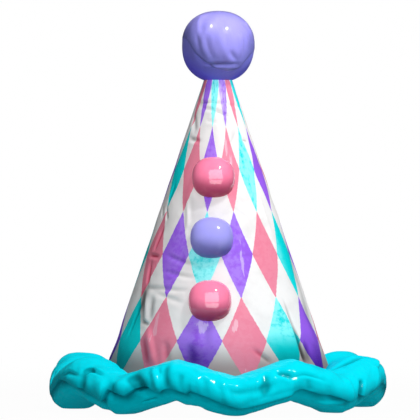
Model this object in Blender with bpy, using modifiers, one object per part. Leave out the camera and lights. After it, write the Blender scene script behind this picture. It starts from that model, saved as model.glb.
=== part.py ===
"""Clown hat: a cone of cloth on a padded wavy brim, a stuffed ball sewn over its tip and
three ball buttons down its front.

Metres, +Z up. The hat stands on its brim at z = 0 with the cone's axis on the Z axis, and
its front, with the buttons, looks along -Y. An angle round the axis is counted from the
front toward +X.
"""

import math
from typing import NamedTuple

import bpy
import numpy as np
from mathutils import Euler, Matrix, Vector

# Cone of cloth. Its inner width at the hem is an adult's head opening, and its straight
# sides would meet at the apex above the rounded tip.
HEAD_OPENING = 0.187
CLOTH = 0.002
CONE_SLOPE = 0.337
HEM_HEIGHT = 0.014
TIP_HEIGHT = 0.272
TIP_ROUNDING = 0.0055
TIP_STEPS = (0.0, 0.42, 0.76)
CONE_SIDES = 64
CONE_RINGS = 22
SMOOTH_HEM = (0.026, 0.040)
SMOOTH_TIP = (0.262, 0.250)
LEAN = math.atan(CONE_SLOPE)
HEM_RADIUS = HEAD_OPENING / 2 + CLOTH / math.cos(LEAN)
APEX_HEIGHT = HEM_HEIGHT + HEM_RADIUS / CONE_SLOPE

# Space between two pieces that are sewn together
SEAM_GAP = 0.0003

# Exponent of the full outline that tight stuffing gives a section: 2 is an ellipse
FULLNESS = 2.25

# Padded brim: a stuffed tube in a ring that rises and falls in waves
BRIM_RADIUS = 0.116
BRIM_HALF_WIDTH = 0.0193
BRIM_HALF_HEIGHT = 0.0161
BRIM_WAVES = 8
BRIM_WAVE = 0.0062
BRIM_WAVE_SHARPNESS = 0.99
BRIM_TROUGH_ANGLE = 11.6
BRIM_SINK = 0.0006
BRIM_FLAT = 0.0019
BRIM_DRAWN_IN = 0.0015
BRIM_SEGMENTS = 120
BRIM_SIDES = 16

# Stuffed ball on the tip
BALL_HALF_WIDTH = 0.0291
BALL_HALF_HEIGHT = 0.0279
BALL_CENTRE = 0.291
BALL_LIP = 0.0014
BALL_SIDES = 32
BALL_RINGS = 18

# Ball buttons on the front, named by where they sit
BUTTON_HALF_WIDTH = 0.01685
BUTTON_HALF_HEIGHT = 0.0162
BUTTON_HALF_DEPTH = 0.0162
BUTTON_STAND_OFF = 0.002
BUTTON_HEIGHTS = {
    "button_top": 0.1843,
    "button_middle": 0.1366,
    "button_bottom": 0.0874,
}
BUTTON_SIDES = 18
BUTTON_RINGS = 10
PRESSING_ROUNDS = 12
SMOOTH_BY_BUTTON = (0.018, 0.028)


class Crease(NamedTuple):
    """One soft crease in a cloth surface, with angles in degrees and lengths in metres."""

    angle: float
    place: float
    tilt: float
    half_length: float
    half_width: float
    depth: float


# Creases of the cone. The place is a height, and the tilt is that of the crease's run.
CONE_CREASES = (
    Crease(-6, 0.2400, -8, 0.019, 0.0040, 0.0008),
    Crease(31, 0.2165, -55, 0.009, 0.0040, 0.0008),
    Crease(-38, 0.2150, -8, 0.007, 0.0040, 0.0009),
    Crease(57, 0.1570, -84, 0.018, 0.0060, 0.0010),
    Crease(27, 0.1565, -33, 0.009, 0.0050, 0.0008),
    Crease(-32, 0.1530, -82, 0.016, 0.0050, 0.0012),
    Crease(30, 0.1230, -6, 0.014, 0.0055, 0.0010),
    Crease(-28, 0.1190, -16, 0.014, 0.0055, 0.0012),
    Crease(-33, 0.0960, -6, 0.020, 0.0065, 0.0018),
    Crease(-49, 0.0800, -44, 0.016, 0.0070, 0.0022),
    Crease(-38, 0.0550, -62, 0.017, 0.0070, 0.0020),
    Crease(57, 0.0640, -76, 0.024, 0.0070, 0.0022),
    Crease(29, 0.0450, -40, 0.010, 0.0060, 0.0014),
    Crease(-12, 0.0480, -40, 0.008, 0.0055, 0.0010),
    Crease(5, 0.0560, -85, 0.011, 0.0065, 0.0010),
)

# Creases of the brim. The place is the section's angle in degrees: 0 is the outer side
# and 90 the top.
BRIM_CREASES = (
    Crease(-73, 40, -60, 0.011, 0.0045, 0.0024),
    Crease(-70, -18, -30, 0.016, 0.0045, 0.0024),
    Crease(-54, 38, 70, 0.010, 0.0045, 0.0022),
    Crease(-48, -22, -28, 0.014, 0.0045, 0.0024),
    Crease(-36, 12, 80, 0.012, 0.0050, 0.0022),
    Crease(-28, -20, 12, 0.016, 0.0050, 0.0022),
    Crease(-22, 18, 75, 0.011, 0.0045, 0.0022),
    Crease(-12, -24, -10, 0.016, 0.0045, 0.0020),
    Crease(4, -25, -8, 0.018, 0.0045, 0.0020),
    Crease(18, 4, 86, 0.013, 0.0045, 0.0020),
    Crease(26, -33, 6, 0.018, 0.0045, 0.0020),
    Crease(30, 36, -35, 0.010, 0.0040, 0.0018),
    Crease(40, -20, -22, 0.014, 0.0045, 0.0022),
    Crease(51, -12, 84, 0.012, 0.0045, 0.0020),
    Crease(62, 10, -80, 0.013, 0.0045, 0.0024),
    Crease(78, 34, -50, 0.014, 0.0045, 0.0024),
    Crease(90, -20, 10, 0.018, 0.0045, 0.0020),
    Crease(102, 20, 82, 0.013, 0.0050, 0.0020),
    Crease(124, -22, -10, 0.020, 0.0045, 0.0020),
    Crease(147, 24, 80, 0.013, 0.0050, 0.0020),
    Crease(168, -24, 8, 0.020, 0.0045, 0.0020),
    Crease(-168, 22, 82, 0.013, 0.0050, 0.0020),
    Crease(-146, -22, -8, 0.020, 0.0045, 0.0020),
    Crease(-123, 24, 80, 0.013, 0.0050, 0.0020),
    Crease(-101, -20, 10, 0.020, 0.0045, 0.0020),
)

# Creases of the ball on the tip. The place is a latitude in degrees.
BALL_CREASES = (
    Crease(-42, -7, -54, 0.012, 0.0045, 0.0020),
    Crease(-23, 20, -66, 0.011, 0.0045, 0.0012),
    Crease(-10, -17, -72, 0.010, 0.0045, 0.0013),
    Crease(24, -20, -50, 0.012, 0.0045, 0.0013),
    Crease(42, 4, -74, 0.010, 0.0040, 0.0010),
    Crease(9, -46, 3, 0.012, 0.0035, 0.0018),
    Crease(110, -8, -62, 0.012, 0.0045, 0.0014),
    Crease(165, 6, -66, 0.012, 0.0045, 0.0014),
    Crease(-115, -4, -58, 0.012, 0.0045, 0.0014),
)

# Base colours in linear light, with roughness, and their names
WHITE_CLOTH = ("cone cloth", (0.86, 0.86, 0.86), 0.45)
CYAN_SATIN = ("brim satin", (0.0, 0.66, 0.76), 0.35)
PERIWINKLE_SATIN = ("ball satin", (0.36, 0.33, 0.91), 0.40)
PINK_GLOSS = ("pink button plastic", (0.83, 0.19, 0.33), 0.22)
PERIWINKLE_GLOSS = ("periwinkle button plastic", (0.36, 0.33, 0.91), 0.22)


def clear_scene():
    """Remove the objects that the open file starts with."""
    for old in list(bpy.data.objects):
        bpy.data.objects.remove(old, do_unlink=True)


def new_collection(name):
    """A collection in the scene for the hat's pieces."""
    group = bpy.data.collections.new(name)
    bpy.context.scene.collection.children.link(group)
    return group


def add_material(obj, finish):
    """Give an object a Principled material from (name, colour, roughness)."""
    name, colour, roughness = finish
    material = bpy.data.materials.new(name)
    material.use_nodes = True
    shader = material.node_tree.nodes["Principled BSDF"]
    shader.inputs["Base Color"].default_value = (*colour, 1.0)
    shader.inputs["Roughness"].default_value = roughness
    shader.inputs["Metallic"].default_value = 0.0
    obj.data.materials.append(material)


def points_of(mesh):
    """A mesh's vertices as an array of rows x, y, z."""
    flat = np.empty(len(mesh.vertices) * 3)
    mesh.vertices.foreach_get("co", flat)
    return flat.reshape(-1, 3)


def set_points(mesh, points):
    """Put an array of rows x, y, z back in a mesh."""
    mesh.vertices.foreach_set("co", np.ravel(points))
    mesh.update()


def turned_mesh(name, profile, sides):
    """A mesh turned round Z from a profile of (radius, height), top to bottom outside."""
    outline = bpy.data.meshes.new(name)
    edges = [(i, i + 1) for i in range(len(profile) - 1)]
    outline.from_pydata([(r, 0.0, z) for r, z in profile], edges, [])
    guide = bpy.data.objects.new(name, outline)
    bpy.context.scene.collection.objects.link(guide)
    screw = guide.modifiers.new("turn", "SCREW")
    screw.steps = sides
    screw.render_steps = sides
    screw.use_merge_vertices = True
    screw.merge_threshold = 0.0001
    settled = guide.evaluated_get(bpy.context.evaluated_depsgraph_get())
    mesh = bpy.data.meshes.new_from_object(settled)
    mesh.name = name
    bpy.data.objects.remove(guide, do_unlink=True)
    return mesh


def add_piece(group, name, mesh, finish):
    """A smooth shaded object of the hat in its collection, with its finish."""
    piece = bpy.data.objects.new(name, mesh)
    group.objects.link(piece)
    mesh.shade_smooth()
    add_material(piece, finish)
    return piece


def turn_between(angle, middle):
    """The turn from one angle to another, in radians from -pi to pi."""
    return (angle - middle + math.pi) % (2 * math.pi) - math.pi


def crease_depth(creases, angle, place, arc_radius, place_scale):
    """How deep the creases lie at each point.

    Each crease is a narrow valley with a low swell on both sides: (1 - 0.8 w2) exp(-w2),
    where w2 is the square of the distance across it in half widths, and it fades out along
    its run. The arc's radius and the place's scale turn angle and place into metres.
    """
    total = np.zeros_like(angle)
    for crease in creases:
        along_ring = turn_between(angle, math.radians(crease.angle)) * arc_radius
        up = (place - crease.place) * place_scale
        tilt = math.radians(crease.tilt)
        along = along_ring * math.cos(tilt) + up * math.sin(tilt)
        across = up * math.cos(tilt) - along_ring * math.sin(tilt)
        w2 = (across / crease.half_width) ** 2
        run = (along / crease.half_length) ** 2
        total += crease.depth * (1 - 0.8 * w2) * np.exp(-w2 - run * run)
    return total


def smooth_step(value, start, end):
    """A smooth rise from 0 at start to 1 at end, whichever of the two is larger."""
    t = np.clip((value - start) / (end - start), 0.0, 1.0)
    return t * t * (3 - 2 * t)


def full_cos(angle):
    """The cosine for a full section, drawn out toward its corners."""
    return np.sign(np.cos(angle)) * np.abs(np.cos(angle)) ** (2 / FULLNESS)


def full_sin(angle):
    """The sine for a full section, drawn out toward its corners."""
    return np.sign(np.sin(angle)) * np.abs(np.sin(angle)) ** (2 / FULLNESS)


def straight_radius(height):
    """The radius of the cone's outer side at a height, before its creases."""
    return (APEX_HEIGHT - height) * CONE_SLOPE


def cone_radius(angle, height):
    """The outer radius of the creased cone, which stays smooth at hem, tip and buttons."""
    straight = straight_radius(height)
    depth = crease_depth(CONE_CREASES, angle, height, straight, 1 / math.cos(LEAN))
    depth = depth * smooth_step(height, *SMOOTH_HEM) * smooth_step(height, *SMOOTH_TIP)
    for middle in BUTTON_HEIGHTS.values():
        away = np.hypot(turn_between(angle, 0.0) * straight, height - middle)
        depth = depth * smooth_step(away, *SMOOTH_BY_BUTTON)
    return straight - depth


def tip_profile(gap):
    """The rounded tip from the axis outwards, standing off the cone's tip by a gap."""
    shoulder = TIP_HEIGHT - TIP_ROUNDING
    radius = straight_radius(shoulder)
    profile = [
        ((radius + gap) * s, TIP_HEIGHT + gap - TIP_ROUNDING * s**3) for s in TIP_STEPS
    ]
    return profile + [(radius + gap / math.cos(LEAN), shoulder)]


def make_crown(group):
    """The hollow cone of cloth, closed at its tip and open at its hem."""
    shoulder = TIP_HEIGHT - TIP_ROUNDING
    heights = np.linspace(shoulder, HEM_HEIGHT, CONE_RINGS + 1)[1:]
    profile = tip_profile(0.0) + [(straight_radius(z), z) for z in heights]
    mesh = turned_mesh("crown_cone", profile, CONE_SIDES)
    points = points_of(mesh)
    radius = np.hypot(points[:, 0], points[:, 1])
    angle = np.arctan2(points[:, 0], -points[:, 1])
    side = points[:, 2] < shoulder - SEAM_GAP
    creased = np.where(side, cone_radius(angle, points[:, 2]), radius)
    points[:, :2] *= (creased / np.maximum(radius, 1e-9))[:, None]
    set_points(mesh, points)
    crown = add_piece(group, "crown_cone", mesh, WHITE_CLOTH)
    wall = crown.modifiers.new("cloth", "SOLIDIFY")
    wall.thickness = CLOTH
    wall.offset = -1.0
    wall.use_even_offset = True
    return crown


def brim_middle(turn):
    """The height of the tube's middle at a turn from a trough.

    The wave is asin(s cos(8 turn)) / asin(s), a rounded zigzag.
    """
    s = BRIM_WAVE_SHARPNESS
    wave = np.arcsin(s * np.cos(BRIM_WAVES * turn)) / math.asin(s)
    return BRIM_HALF_HEIGHT - BRIM_SINK + BRIM_WAVE * (1 - wave)


def make_brim(group):
    """The stuffed wavy ring round the hem, pressed flat where its troughs rest."""
    bpy.ops.mesh.primitive_torus_add(
        major_segments=BRIM_SEGMENTS,
        minor_segments=BRIM_SIDES,
        major_radius=BRIM_RADIUS,
        minor_radius=BRIM_HALF_HEIGHT,
    )
    ring = bpy.context.object
    points = points_of(ring.data)
    mesh = ring.data.copy()
    bpy.data.objects.remove(ring, do_unlink=True)
    turn = np.arctan2(points[:, 1], points[:, 0])
    section = np.arctan2(points[:, 2], np.hypot(points[:, 0], points[:, 1]) - BRIM_RADIUS)
    angle = turn_between(turn, -math.radians(BRIM_TROUGH_ANGLE))
    middle = brim_middle(turn)
    inward = BRIM_RADIUS - straight_radius(middle) + BRIM_DRAWN_IN
    half_width = np.where(np.cos(section) > 0, BRIM_HALF_WIDTH, inward)
    depth = crease_depth(
        BRIM_CREASES,
        angle,
        np.degrees(section),
        BRIM_RADIUS + BRIM_HALF_WIDTH,
        math.radians(BRIM_HALF_WIDTH),
    )
    radius = BRIM_RADIUS + (half_width - depth) * full_cos(section)
    height = middle + (BRIM_HALF_HEIGHT - depth) * full_sin(section)
    height = np.where(height < BRIM_FLAT, 0.0, height)
    clear = cone_radius(angle, height) + SEAM_GAP / math.cos(LEAN)
    radius = np.maximum(radius, clear)
    place = np.stack([radius * np.sin(angle), -radius * np.cos(angle), height], axis=1)
    set_points(mesh, place)
    return add_piece(group, "brim_roll", mesh, CYAN_SATIN)


def make_ball(group):
    """The stuffed ball, with a hollow under it that takes the cone's tip."""
    hollow = tip_profile(SEAM_GAP)
    rim_radius = hollow[-1][0] + BALL_LIP
    rim = math.acos((rim_radius / BALL_HALF_WIDTH) ** (FULLNESS / 2))
    latitudes = np.linspace(math.pi / 2, -rim, BALL_RINGS)
    radii = BALL_HALF_WIDTH * full_cos(latitudes)
    radii[0] = 0.0
    heights = BALL_CENTRE + BALL_HALF_HEIGHT * full_sin(latitudes)
    profile = list(zip(radii, heights))
    mouth_height = heights[-1] + BALL_LIP / 2
    mouth = (straight_radius(mouth_height) + SEAM_GAP / math.cos(LEAN), mouth_height)
    profile += [mouth] + hollow[::-1]
    mesh = turned_mesh("top_ball", profile, BALL_SIDES)
    points = points_of(mesh)
    angle = np.arctan2(points[:, 0], -points[:, 1])
    outward = points - (0.0, 0.0, BALL_CENTRE)
    latitude = np.arcsin(np.clip(outward[:, 2] / np.linalg.norm(outward, axis=1), -1, 1))
    depth = crease_depth(
        BALL_CREASES,
        angle,
        np.degrees(latitude),
        BALL_HALF_WIDTH * np.cos(latitude),
        math.radians(BALL_HALF_WIDTH),
    )
    width = np.hypot(points[:, 0], points[:, 1])
    skin = (points[:, 2] > BALL_CENTRE) | (width > rim_radius + SEAM_GAP)
    depth = np.where(skin, depth, 0.0)
    points -= outward * (depth / np.linalg.norm(outward, axis=1))[:, None]
    set_points(mesh, points)
    return add_piece(group, "top_ball", mesh, PERIWINKLE_SATIN)


def make_button(group, name, height, finish):
    """A ball button whose back is pressed on the cone, with its own Z straight out of it."""
    bpy.ops.mesh.primitive_uv_sphere_add(segments=BUTTON_SIDES, ring_count=BUTTON_RINGS)
    ball = bpy.context.object
    mesh = ball.data.copy()
    bpy.data.objects.remove(ball, do_unlink=True)
    out = Vector((0.0, -math.cos(LEAN), math.sin(LEAN)))
    spot = Vector((0.0, -straight_radius(height), height)) + out * BUTTON_STAND_OFF
    turned = Euler((math.pi / 2 - LEAN, 0.0, 0.0))
    placed = np.array(Matrix.Translation(spot) @ turned.to_matrix().to_4x4())
    sizes = (BUTTON_HALF_WIDTH, BUTTON_HALF_HEIGHT, BUTTON_HALF_DEPTH)
    points = points_of(mesh) * sizes
    world = points @ placed[:3, :3].T + placed[:3, 3]
    for _ in range(PRESSING_ROUNDS):
        angle = np.arctan2(world[:, 0], -world[:, 1])
        clear = cone_radius(angle, world[:, 2]) + SEAM_GAP / math.cos(LEAN)
        short = np.maximum(clear - np.hypot(world[:, 0], world[:, 1]), 0.0)
        world += np.outer(short, out)
    set_points(mesh, (world - placed[:3, 3]) @ placed[:3, :3])
    button = add_piece(group, name, mesh, finish)
    button.location = spot
    button.rotation_euler = turned
    return button


def main():
    """Build the hat's pieces from the brim up."""
    clear_scene()
    hat = new_collection("clown_hat")
    make_brim(hat)
    make_crown(hat)
    finishes = (PINK_GLOSS, PERIWINKLE_GLOSS, PINK_GLOSS)
    for (name, height), finish in zip(BUTTON_HEIGHTS.items(), finishes):
        make_button(hat, name, height, finish)
    make_ball(hat)


main()
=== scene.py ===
"""Looks of the clown hat: a cone of printed satin on a stuffed wavy brim, a stuffed ball
sewn over its tip and three glossy ball buttons down its front.

Metres, +Z up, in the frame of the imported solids. The hat stands on z = 0 with the cone's
axis on the Z axis and its front along -Y. An angle round the axis is counted from the
front toward +X. On the brim's tube a section angle of 0 is the outer side and 90 the top.
"""

import logging
import math
from collections.abc import Mapping, Sequence
from dataclasses import dataclass
from enum import Enum
from typing import Any, Union

import bpy
import numpy as np
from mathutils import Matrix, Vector


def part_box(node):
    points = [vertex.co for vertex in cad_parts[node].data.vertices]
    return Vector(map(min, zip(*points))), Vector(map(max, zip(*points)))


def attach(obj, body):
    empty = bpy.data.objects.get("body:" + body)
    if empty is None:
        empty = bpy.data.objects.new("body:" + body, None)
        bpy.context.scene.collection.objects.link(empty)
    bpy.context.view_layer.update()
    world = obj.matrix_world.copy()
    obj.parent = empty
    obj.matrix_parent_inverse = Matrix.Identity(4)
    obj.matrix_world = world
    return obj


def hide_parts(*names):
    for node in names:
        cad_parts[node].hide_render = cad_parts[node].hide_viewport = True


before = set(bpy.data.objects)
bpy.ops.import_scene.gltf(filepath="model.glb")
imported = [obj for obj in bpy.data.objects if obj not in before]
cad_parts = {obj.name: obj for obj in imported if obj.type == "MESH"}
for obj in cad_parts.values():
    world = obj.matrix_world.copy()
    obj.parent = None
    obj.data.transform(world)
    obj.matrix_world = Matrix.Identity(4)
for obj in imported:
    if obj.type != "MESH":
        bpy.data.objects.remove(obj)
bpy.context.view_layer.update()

LOG = logging.getLogger("clown_hat")
BODY = "root"

# Clearance between sewn pieces
SEAM_GAP = 0.0003

# What the rows of diamonds count from on the inner side of the cone
INNER_ROWS = 10.0

# The photo's width in pixels, and metres for one of them at the hat's axis
PHOTO_WIDTH = 420
PIXEL = 0.000803

Array = np.ndarray
Colour = tuple[float, float, float]
Band = tuple[float, float]
Number = Union[float, "Expr"]

WHITE: Colour = (1.0, 1.0, 1.0)


def smooth_step(value: Array, start: float, end: float) -> Array:
    """A smooth rise from 0 at start to 1 at end, 3 t^2 - 2 t^3 of the clipped share t."""
    t = np.clip((value - start) / (end - start), 0.0, 1.0)
    return t * t * (3 - 2 * t)


def turn_between(angle: Array, middle: float) -> Array:
    """The turn from a middle angle to each angle, in degrees from -180 to 180."""
    return (angle - middle + 180.0) % 360.0 - 180.0


def closed(grid: Array) -> Array:
    """The grid with its first column once more at its end."""
    return np.concatenate([grid, grid[:, :1]], axis=1)


def signed_power(value: Array, power: float) -> Array:
    """The power of the size of each value, with the value's own sign."""
    return np.sign(value) * np.abs(value) ** power


def rounded(angle: Array, fullness: Union[Array, float]) -> tuple[Array, Array]:
    """The cosine and the sine of an angle in radians, each raised to 2 / fullness."""
    power = 2 / fullness
    return signed_power(np.cos(angle), power), signed_power(np.sin(angle), power)


def around(count: int, start: float = -180.0, more: int = 0) -> Array:
    """The angles in degrees of evenly spaced columns once round, and of some more."""
    return start + 360 * np.arange(count + more) / count


def placed(radius: Array, turn: Array, height: Array) -> Array:
    """The points at each radius, turn from the front in radians, and height."""
    return np.stack([radius * np.sin(turn), -radius * np.cos(turn), height], axis=2)


def polar(points: Array) -> tuple[Array, Array]:
    """The radius of each point and its turn from the front in radians."""
    x, y = points[..., 0], points[..., 1]
    return np.hypot(x, y), np.arctan2(x, -y)


class FoldKind(Enum):
    """How a fold looks across its run."""

    VALLEY = "a soft hollow with a low swell on both sides"
    CREASE = "a sharp line pressed into the cloth"
    RIDGE = "a soft raised fold"
    DENT = "a hollow without swells"
    FLOP = "a fold that has fallen over, steep on the left of its run and gentle on the right"


@dataclass(frozen=True)
class Fold:
    """A fold that runs over a cloth surface from one place to another.

    Each end is (angle in degrees, place), where the place is a height in metres on the
    cone and a section angle or latitude in degrees on stuffed pieces. The bow is how far
    the run's middle lies off the straight line, toward the left of its direction. The
    shade is how many times deeper the fold counts where the colour is darkened in folds as painted
    shade.
    """

    start: tuple[float, float]
    end: tuple[float, float]
    half_width: float
    depth: float
    kind: FoldKind = FoldKind.VALLEY
    bow: float = 0.0
    shade: float = 1.0

    def across(self, w: Array) -> Array:
        """The share of the depth at a distance across of w half widths.

        A valley is (1 - 0.8 w2) exp(-w2), a crease is exp(1.6 (0.3 - sqrt(w2 + 0.09)))
        less a third of a swell round w = 2, and a dent is exp(-w2), with w2 the square of w. A
        flop rises by exp(-w2) on the right and falls by exp(-(3.5 w)^2) on the left.
        """
        w2 = w * w
        if self.kind is FoldKind.FLOP:
            return -np.exp(-w2 * np.where(w > 0, 12.25, 1.0))
        if self.kind is FoldKind.CREASE:
            swell = 0.33 * np.exp(-((np.abs(w) - 2.0) ** 2))
            return np.exp(1.6 * (0.3 - np.sqrt(w2 + 0.09))) - swell
        if self.kind is FoldKind.DENT:
            return np.exp(-w2)
        share = (1 - 0.8 * w2) * np.exp(-w2)
        return -share if self.kind is FoldKind.RIDGE else share

    def relief(self, angle: Array, place: Array, ring: Array, climb: float) -> Array:
        """How deep the fold lies at each point.

        The surface is unrolled round the fold's middle, and the distance across the run
        counts from a parabola through both ends and the bow. Along the run it fades as
        exp(-(along / half length)^4).

        Args:
            angle: each point's angle in degrees.
            place: each point's height or section angle.
            ring: metres for one radian of the angle.
            climb: metres for one unit of the place.

        Returns:
            The depth in metres, positive into the surface.
        """
        turn, rise = np.subtract(self.end, self.start)
        middle = (self.start[0] + self.end[0]) / 2, (self.start[1] + self.end[1]) / 2
        here = np.abs(place - middle[1])
        nearest = float(np.median(ring[here <= here.min() + 1e-9]))
        run = np.array([math.radians(turn) * nearest, rise * climb])
        half_length = float(np.linalg.norm(run)) / 2
        way = run / (2 * half_length)
        x = np.radians(turn_between(angle, middle[0])) * ring
        y = (place - middle[1]) * climb
        along = (x * way[0] + y * way[1]) / half_length
        across = y * way[0] - x * way[1] - self.bow * (1 - np.clip(along, -1.5, 1.5) ** 2)
        return self.depth * self.across(across / self.half_width) * np.exp(-(along**4))


def relief_of(
    folds: Sequence[Fold],
    angle: Array,
    place: Array,
    ring: Array,
    climb: float,
    shaded: bool = False,
) -> Array:
    """The summed depth of several folds, as Fold.relief gives each.

    Args:
        folds: the folds.
        angle: each point's angle in degrees.
        place: each point's height or section angle.
        ring: metres for one radian of the angle.
        climb: metres for one unit of the place.
        shaded: count each fold's depth times its shade.

    Returns:
        The depth in metres.
    """
    total = np.zeros(np.shape(angle))
    for fold in folds:
        depth = fold.relief(angle, place, ring, climb)
        total += depth * fold.shade if shaded else depth
    return total


@dataclass(frozen=True)
class Ripples:
    """Small uneven waves of cloth, the same on every run.

    The relief is the sum of several cosines of n angle + m climb + phase, where n is a
    whole number so that the waves meet behind the hat, swelling and fading with a second,
    broader sum.
    """

    seed: int
    rounds: tuple[int, int]
    climbs: Band
    height: float
    waves: int = 14
    whole_climbs: bool = False

    def one_sum(
        self, angle: Array, climb: Array, scale: float, dice: np.random.Generator
    ) -> Array:
        """A sum of cosines with rounds and climbs drawn from the ranges times a scale."""
        total = np.zeros_like(angle)
        for _ in range(self.waves):
            n = round(dice.uniform(*self.rounds) * scale) * dice.choice((-1, 1))
            m = dice.uniform(*self.climbs) * scale
            if self.whole_climbs:
                m = round(m)
            total += np.cos(n * angle + m * climb + dice.uniform(0, 2 * math.pi))
        return total * math.sqrt(2 / self.waves)

    def relief(self, angle: Array, climb: Array) -> Array:
        """The ripples' height, with the angle and the climb in radians."""
        dice = np.random.default_rng(self.seed)
        fine = self.one_sum(angle, climb, 1.0, dice)
        broad = self.one_sum(angle, climb, 0.25, dice)
        return self.height * fine * (0.6 + 0.4 * np.clip(broad, -1, 1))


def woven_mesh(
    name: str,
    points: Array,
    maps: Mapping[str, Array] | None = None,
    ring: bool = False,
    poles: Array | None = None,
) -> bpy.types.Mesh:
    """Weaves a smooth mesh from a grid of points whose columns close on themselves.

    Faces point outwards where rows run down and columns run to the right.

    Args:
        name: the mesh's name.
        points: rows x columns x 3.
        maps: UV maps by name, each with one column more than the points, and one row
            more where the rows close too.
        ring: the rows close too.
        poles: two points that close the first and the last row.

    Returns:
        The closed mesh.
    """
    rows, columns = points.shape[:2]
    bands = rows if ring else rows - 1
    r, c = np.meshgrid(np.arange(bands), np.arange(columns), indexing="ij")
    corners = np.stack([r, r + 1, r + 1, r]), np.stack([c, c, c + 1, c + 1])
    quads = ((corners[0] % rows) * columns + corners[1] % columns).reshape(4, -1).T
    loops = [quads.ravel()]
    sizes = [np.full(len(quads), 4)]
    places = points.reshape(-1, 3)
    if poles is not None:
        one = np.arange(columns)
        after = (one + 1) % columns
        base = (rows - 1) * columns
        top = np.full(columns, len(places))
        fans = np.stack([top, one, after], 1), np.stack([base + one, top + 1, base + after], 1)
        loops += [fan.ravel() for fan in fans]
        sizes += [np.full(columns, 3)] * 2
        places = np.concatenate([places, poles])
    index = np.concatenate(loops).astype(np.int32)
    size = np.concatenate(sizes)
    mesh = bpy.data.meshes.new(name)
    mesh.vertices.add(len(places))
    mesh.vertices.foreach_set("co", places.astype(np.float32).ravel())
    mesh.loops.add(len(index))
    mesh.loops.foreach_set("vertex_index", index)
    mesh.polygons.add(len(size))
    mesh.polygons.foreach_set("loop_start", (np.cumsum(size) - size).astype(np.int32))
    mesh.update(calc_edges=True)
    mesh.shade_smooth()
    for map_name, grid in (maps or {}).items():
        uv = grid[corners[0], corners[1]].reshape(4, -1, 2).transpose(1, 0, 2)
        values = [uv.reshape(-1, 2)]
        if poles is not None:
            left, right = grid[:, :-1], grid[:, 1:]
            middle = (left + right) / 2
            values.append(np.stack([middle[0], left[0], right[0]], 1).reshape(-1, 2))
            values.append(np.stack([left[-1], middle[-1], right[-1]], 1).reshape(-1, 2))
        layer = mesh.uv_layers.new(name=map_name)
        layer.data.foreach_set("uv", np.concatenate(values).astype(np.float32).ravel())
    return mesh


def add_object(name: str, data: bpy.types.ID) -> bpy.types.Object:
    """Puts a mesh, a lamp or a camera in the scene under a name."""
    made = bpy.data.objects.new(name, data)
    bpy.context.scene.collection.objects.link(made)
    return made


def add_piece(
    name: str, mesh: bpy.types.Mesh, material: bpy.types.Material
) -> bpy.types.Object:
    """Puts a mesh in the scene under a name, with its material."""
    mesh.materials.append(material)
    return add_object(name, mesh)


def place_in_hat(piece: bpy.types.Object, node: str) -> bpy.types.Object:
    """Lets a piece ride on the hat's one body, in place of a node."""
    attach(piece, BODY)
    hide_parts(node)
    LOG.info("%s stands for %s: %d faces", piece.name, node, len(piece.data.polygons))
    return piece


@dataclass(frozen=True)
class Stuffing:
    """Blows a closed cloth form up with air, held at its seams, as filling does.

    The cloth simulation runs on every second row and column of the form's points. The
    points in between take the mean of their neighbours' moves, and no point moves further
    than the reach: a move of length d becomes reach tanh(d / reach).
    """

    pressure: float
    reach: float
    stiffness: float = 12.0
    bending: float = 0.6
    cloth_mass: float = 0.15
    quality: int = 4
    frames: int = 20

    def simulated(self, mesh: bpy.types.Mesh, held: Array) -> Array:
        """Each vertex's move in the cloth simulation.

        Args:
            mesh: the coarse closed form, which is used up.
            held: the numbers of the vertices that are sewn down.

        Returns:
            Rows of dx, dy, dz.
        """
        scene = bpy.context.scene
        form = add_object("stuffing_form", mesh)
        sewn = form.vertex_groups.new(name="sewn")
        sewn.add([int(i) for i in held], 1.0, "REPLACE")
        cloth = form.modifiers.new("stuffing", "CLOTH")
        settings = cloth.settings
        settings.quality = self.quality
        settings.mass = self.cloth_mass
        settings.tension_stiffness = self.stiffness
        settings.compression_stiffness = self.stiffness
        settings.shear_stiffness = self.stiffness / 2
        settings.bending_stiffness = self.bending
        settings.use_pressure = True
        settings.uniform_pressure_force = self.pressure
        settings.effector_weights.gravity = 0.0
        settings.vertex_group_mass = sewn.name
        cloth.collision_settings.use_collision = False
        cloth.point_cache.frame_start = 1
        cloth.point_cache.frame_end = self.frames
        rest = points_of(mesh)
        for step in range(1, self.frames + 1):
            scene.frame_set(step)
        settled = form.evaluated_get(bpy.context.evaluated_depsgraph_get())
        moved = points_of(settled.data)
        bpy.data.objects.remove(form, do_unlink=True)
        scene.frame_set(1)
        return np.nan_to_num(moved - rest)

    def puffed(self, points: Array, held: Array, ring: bool = False) -> Array:
        """The points of a form after it is stuffed.

        Args:
            points: rows x columns x 3, with even rows where they close and odd rows
                where they don't.
            held: rows x columns, true where the cloth is sewn down.
            ring: the rows close too.

        Returns:
            The moved points, in the same order.
        """
        coarse = points[::2, ::2]
        poles = None
        if not ring:
            poles = np.stack([coarse[0].mean(0), coarse[-1].mean(0)])
        mesh = woven_mesh("stuffing_form", coarse, ring=ring, poles=poles)
        sewn = np.flatnonzero(held[::2, ::2])
        if poles is not None:
            sewn = np.append(sewn, coarse.shape[0] * coarse.shape[1] + np.arange(2))
        move = self.simulated(mesh, sewn)[: coarse.shape[0] * coarse.shape[1]]
        length = np.linalg.norm(move, axis=1, keepdims=True)
        move *= self.reach * np.tanh(length / self.reach) / np.maximum(length, 1e-12)
        LOG.info("stuffing moves the cloth by up to %.2f mm", 1000 * float(length.max()))
        move = move.reshape(coarse.shape)
        wide = np.empty((move.shape[0], points.shape[1], 3))
        wide[:, ::2] = move
        wide[:, 1::2] = (move + np.roll(move, -1, axis=1)) / 2
        full = np.empty(points.shape)
        full[::2] = wide
        between = (wide + np.roll(wide, -1, axis=0)) / 2
        full[1::2] = between if ring else between[:-1]
        return points + np.where(held[:, :, None], 0.0, full)


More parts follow.
